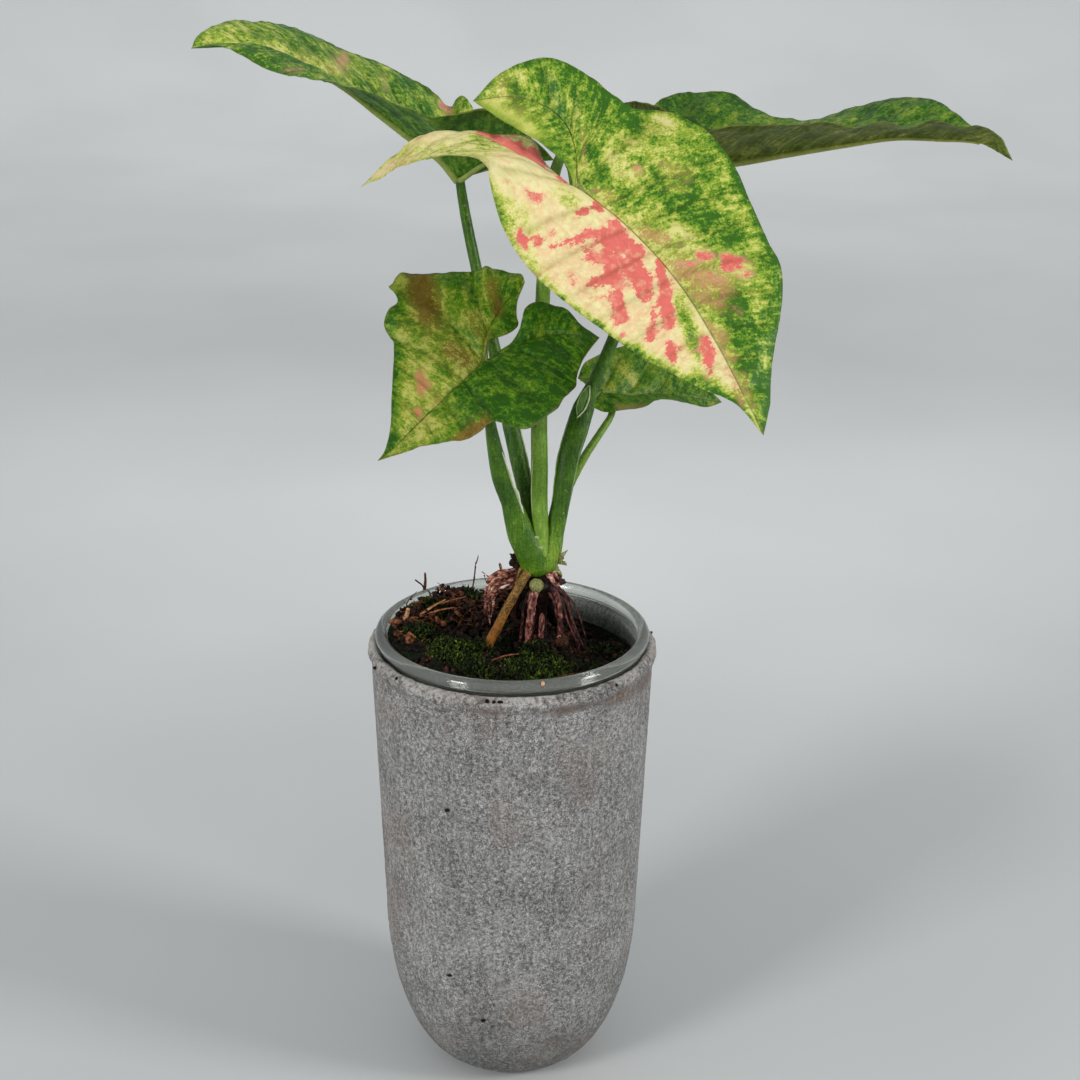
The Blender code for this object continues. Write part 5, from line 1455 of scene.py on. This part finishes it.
def build_old_sheath(finish):
    """Papery folded lump with torn strips, left over from an old leaf."""
    rng = random.Random(41)
    shape = Shape()
    sides = 40
    path, wide, deep = grown_line(OLD_SHEATH, OLD_SHEATH_WIDTH, OLD_SHEATH_DEPTH, 10)
    points, faces = tube_mesh(path, wide, deep, sides)
    centres = np.vstack([np.repeat(path, sides, axis=0), path[:1], path[-1:]])
    turn = np.concatenate([np.tile(np.arange(sides), len(path)), [0, 0]]) * 2 * math.pi / sides
    folds = 0.16 * np.cos(7 * turn + 0.5 * lumps(points, 3.0) * 6) + 0.3 * lumps(points, 2.2, 6.0)
    points = centres + (points - centres) * (1 + folds)[:, None]
    # Painted highlights and shade: the tone follows the folds, lighter on the ridges and darker in the
    # hollows.
    shape.add((points, faces), tone=0.5 * folds)
    for start, end, width in SHEATH_STRIPS:
        start, end = np.array(start), np.array(end)
        strip = smooth_line([start, (start + end) / 2 + [rng.uniform(-0.6, 0.6), -0.4, 0.2], end], 6)
        size = width * (1 + 0.3 * lumps(strip, 1.2, width)) * np.linspace(1.0, 0.4, len(strip))
        shape.add(tube_mesh(strip, size, 0.2, 8, rough=0.14, seed=rng.random()), tone=rng.uniform(0.0, 0.25))
    for _ in range(30):
        start = path[rng.randrange(2, len(path) - 4)] + draw(rng, (-1.2, 1.2), (-1.4, -0.4), (-2.0, 2.0))
        way = unit(draw(rng, (-0.8, 0.4), (-0.4, 0.0), (-1.0, 0.6)))
        length = rng.uniform(1.0, 3.0)
        strip = smooth_line([start, start + way * length * 0.5 + [0, -0.3, 0.2], start + way * length], 4)
        size = np.linspace(0.35, 0.1, len(strip))
        shape.add(tube_mesh(strip, size, 0.12, 5, rough=0.08, seed=rng.random()), tone=rng.uniform(-0.4, 0.3))
    shape.piece("sheath_paper", [finish], "old_sheath")


# Torn strips of the old sheath: start, end and half width
SHEATH_STRIPS = [((-6.2, -4.8, 153.6), (-7.6, -5.4, 148), 0.8), ((-5.6, -5, 151), (-6.2, -5.6, 145.6), 0.5),
    ((-7, -4.6, 151), (-6.4, -5.6, 143.6), 0.45), ((-6, -3.4, 156.6), (-8.8, -3.4, 159), 0.35),
    ((-3.4, -3.2, 158.4), (-3.6, -3.2, 161.6), 0.35), ((-1, -3.4, 158.4), (1.8, -3, 160.2), 0.7),
    ((-2, -4.2, 156), (2, -3.6, 157.6), 0.8), ((-4.4, -4.8, 154.2), (-0.6, -4.4, 155.6), 0.6)]


def build_bud(finish):
    """Round resting bud with small overlapping scales."""
    shape = Shape()
    centre, radius, rows = np.array([7.0, -6.2, 156.0]), 2.0, 12
    arc = [math.pi * i / rows for i in range(1, rows)]
    profile = [(radius * math.sin(a), -radius * math.cos(a)) for a in arc]
    profile = [(0.0, -radius)] + profile + [(0.0, radius)]
    points, faces = lathe_mesh(profile, 28)
    turn = np.arctan2(points[:, 1], points[:, 0])
    swell = 1 + 0.05 * np.cos(2 * turn + 0.7) + 0.04 * lumps(points, 1.0)
    shape.add((points * swell[:, None] + centre, faces), light=0.1)
    for tilt in (-1.2, -0.5, 0.3, 1.0, 1.5):
        rim = [(7.0 + tilt * 0.3, -7.4, 157.6), (7.0 + tilt, -8.1 + 0.2 * abs(tilt), 156.0),
               (7.0 + tilt * 0.4, -7.4, 154.4)]
        shape.add(tube_mesh(smooth_line(rim, 6), 0.14, 0.1, 6), light=0.25)
    shape.piece("bud_skin", [finish], "side_bud")


def build_floor():
    """Level floor that sweeps up into a backdrop on all sides."""
    profile = [(FLOOR_LEVEL_TO, FLOOR_HEIGHT), (FLOOR_REACH, FLOOR_HEIGHT)]
    for i in range(1, 25):
        angle = math.pi / 2 * i / 24
        profile.append((FLOOR_REACH + SWEEP_RADIUS * math.sin(angle),
                        FLOOR_HEIGHT + SWEEP_RADIUS * (1 - math.cos(angle))))
    profile.append((FLOOR_REACH + SWEEP_RADIUS, SWEEP_TOP))
    columns = 96
    rings = [ring_points(radius, height, columns) for radius, height in profile]
    points = np.vstack([[(0.0, 0.0, FLOOR_HEIGHT)], *rings])
    faces = cap(0, 1, columns) + [face[::-1] for face in ring_faces(len(rings), columns, 1)]
    mesh = bpy.data.meshes.new("studio_floor")
    mesh.from_pydata((points * MM).tolist(), [], faces)
    mesh.shade_smooth()
    f = Finish("pale_floor", Specular_IOR_Level=0.1)
    cloud = f.noise(260.0, 2.0)
    f.set(Base_Color=f.mix(f.between(cloud, 0.35, 0.65), paint("CACDCE"), paint("D0D3D3")), Roughness=0.95)
    mesh.materials.append(f.material)
    floor = bpy.data.objects.new("studio_floor", mesh)
    bpy.context.scene.collection.objects.link(floor)


def add_light(name, place, aim, size, power, colour, spread=180):
    lamp = bpy.data.lights.new(name, "AREA")
    lamp.spread = math.radians(spread)
    lamp.shape = "RECTANGLE"
    lamp.size, lamp.size_y = size[0] * MM, size[1] * MM
    lamp.energy = power
    lamp.color = colour
    obj = bpy.data.objects.new(name, lamp)
    obj.location = Vector(place) * MM
    obj.rotation_euler = (Vector(aim) - Vector(place)).to_track_quat("-Z", "Y").to_euler()
    bpy.context.scene.collection.objects.link(obj)


def build_light():
    warm, white = (1.0, 0.985, 0.96), (1.0, 1.0, 1.0)
    add_light("left_softbox", (-1030, -1030, 760), (0, 0, 130), (380, 520), 11.0, warm)
    add_light("right_softbox", (1360, -500, 760), (0, 0, 130), (380, 520), 11.0, warm)
    add_light("floor_wash", (0, 470, 750), (0, 470, 0), (700, 150), 0.22, white, 50)
    add_light("backdrop_wash", (0, 1600, 1050), (0, 1600, 0), (1800, 1200), 2.8, white, 90)
    world = bpy.data.worlds.new("studio_air")
    world.use_nodes = True
    backdrop = world.node_tree.nodes["Background"]
    backdrop.inputs["Color"].default_value = (0.96, 0.98, 1.0, 1.0)
    backdrop.inputs["Strength"].default_value = 0.50
    bpy.context.scene.world = world
    bpy.context.scene.view_settings.view_transform = "Standard"


def build_camera():
    down, roll = math.radians(CAMERA_DOWN), math.radians(CAMERA_ROLL)
    forward = Vector((0, math.cos(down), -math.sin(down)))
    right = Vector((1, 0, 0))
    up = right.cross(forward)
    side = right * math.cos(roll) + up * math.sin(roll)
    top = up * math.cos(roll) - right * math.sin(roll)
    data = bpy.data.cameras.new("camera")
    data.lens = LENS
    data.sensor_width = 36.0
    data.clip_start, data.clip_end = 0.01, 20.0
    camera = bpy.data.objects.new("camera", data)
    axes = Matrix((side, top, -forward)).transposed().to_4x4()
    camera.matrix_world = Matrix.Translation(Vector(CAMERA_PLACE) * MM) @ axes
    bpy.context.scene.collection.objects.link(camera)
    bpy.context.scene.camera = camera


def build_plant():
    dark = stalk_finish("dark_stalk", ["122C02", "2A5005", "4A740C", "80A032"], 0.35)
    light = stalk_finish("light_stalk", ["345A0C", "587F1E", "7CA038", "AAC062"], 0.12)
    shades = {"stalk_front": light, "stalk_lower_right": light}
    for name, stalk in STALKS.items():
        build_stalk(name, stalk, shades.get(name, dark))
    wing = speckled_finish("sheath_edge")
    build_sheath_edges(wing)
    crown = stalk_finish("crown_green", ["1E3C02", "3A5E04", "5C820C", "98AC44"], 0.3)
    bark, root = speckled_finish("bark_and_fibre"), speckled_finish("prop_root")
    olive = stalk_finish("olive_scale", ["2A2E0A", "5E6426", "93935A", "C9C69A"], 0.2)
    build_crown(crown, wing, bark, olive, root)
    build_roots(root, aerial_finish())
    build_old_sheath(speckled_finish("papery_sheath"))
    build_bud(olive)
    for name, leaf in LEAVES.items():
        stops = LEAF_RAMP if name in ("leaf_front", "leaf_upper_left") else DARK_RAMP
        upper, under = blade_finish(name, TONES[name], stops), underside_finish(name, UNDER_STOPS[name])
        build_blade(name, leaf, [upper, under])
    return bark


def main():
    build_camera()
    build_light()
    build_floor()
    build_pot(cement_finish())
    build_cup(plastic_finish())
    build_mix(mix_finish())
    build_moss(speckled_finish("moss"))
    build_crumbs(build_plant())


main()
bpy.context.view_layer.update()
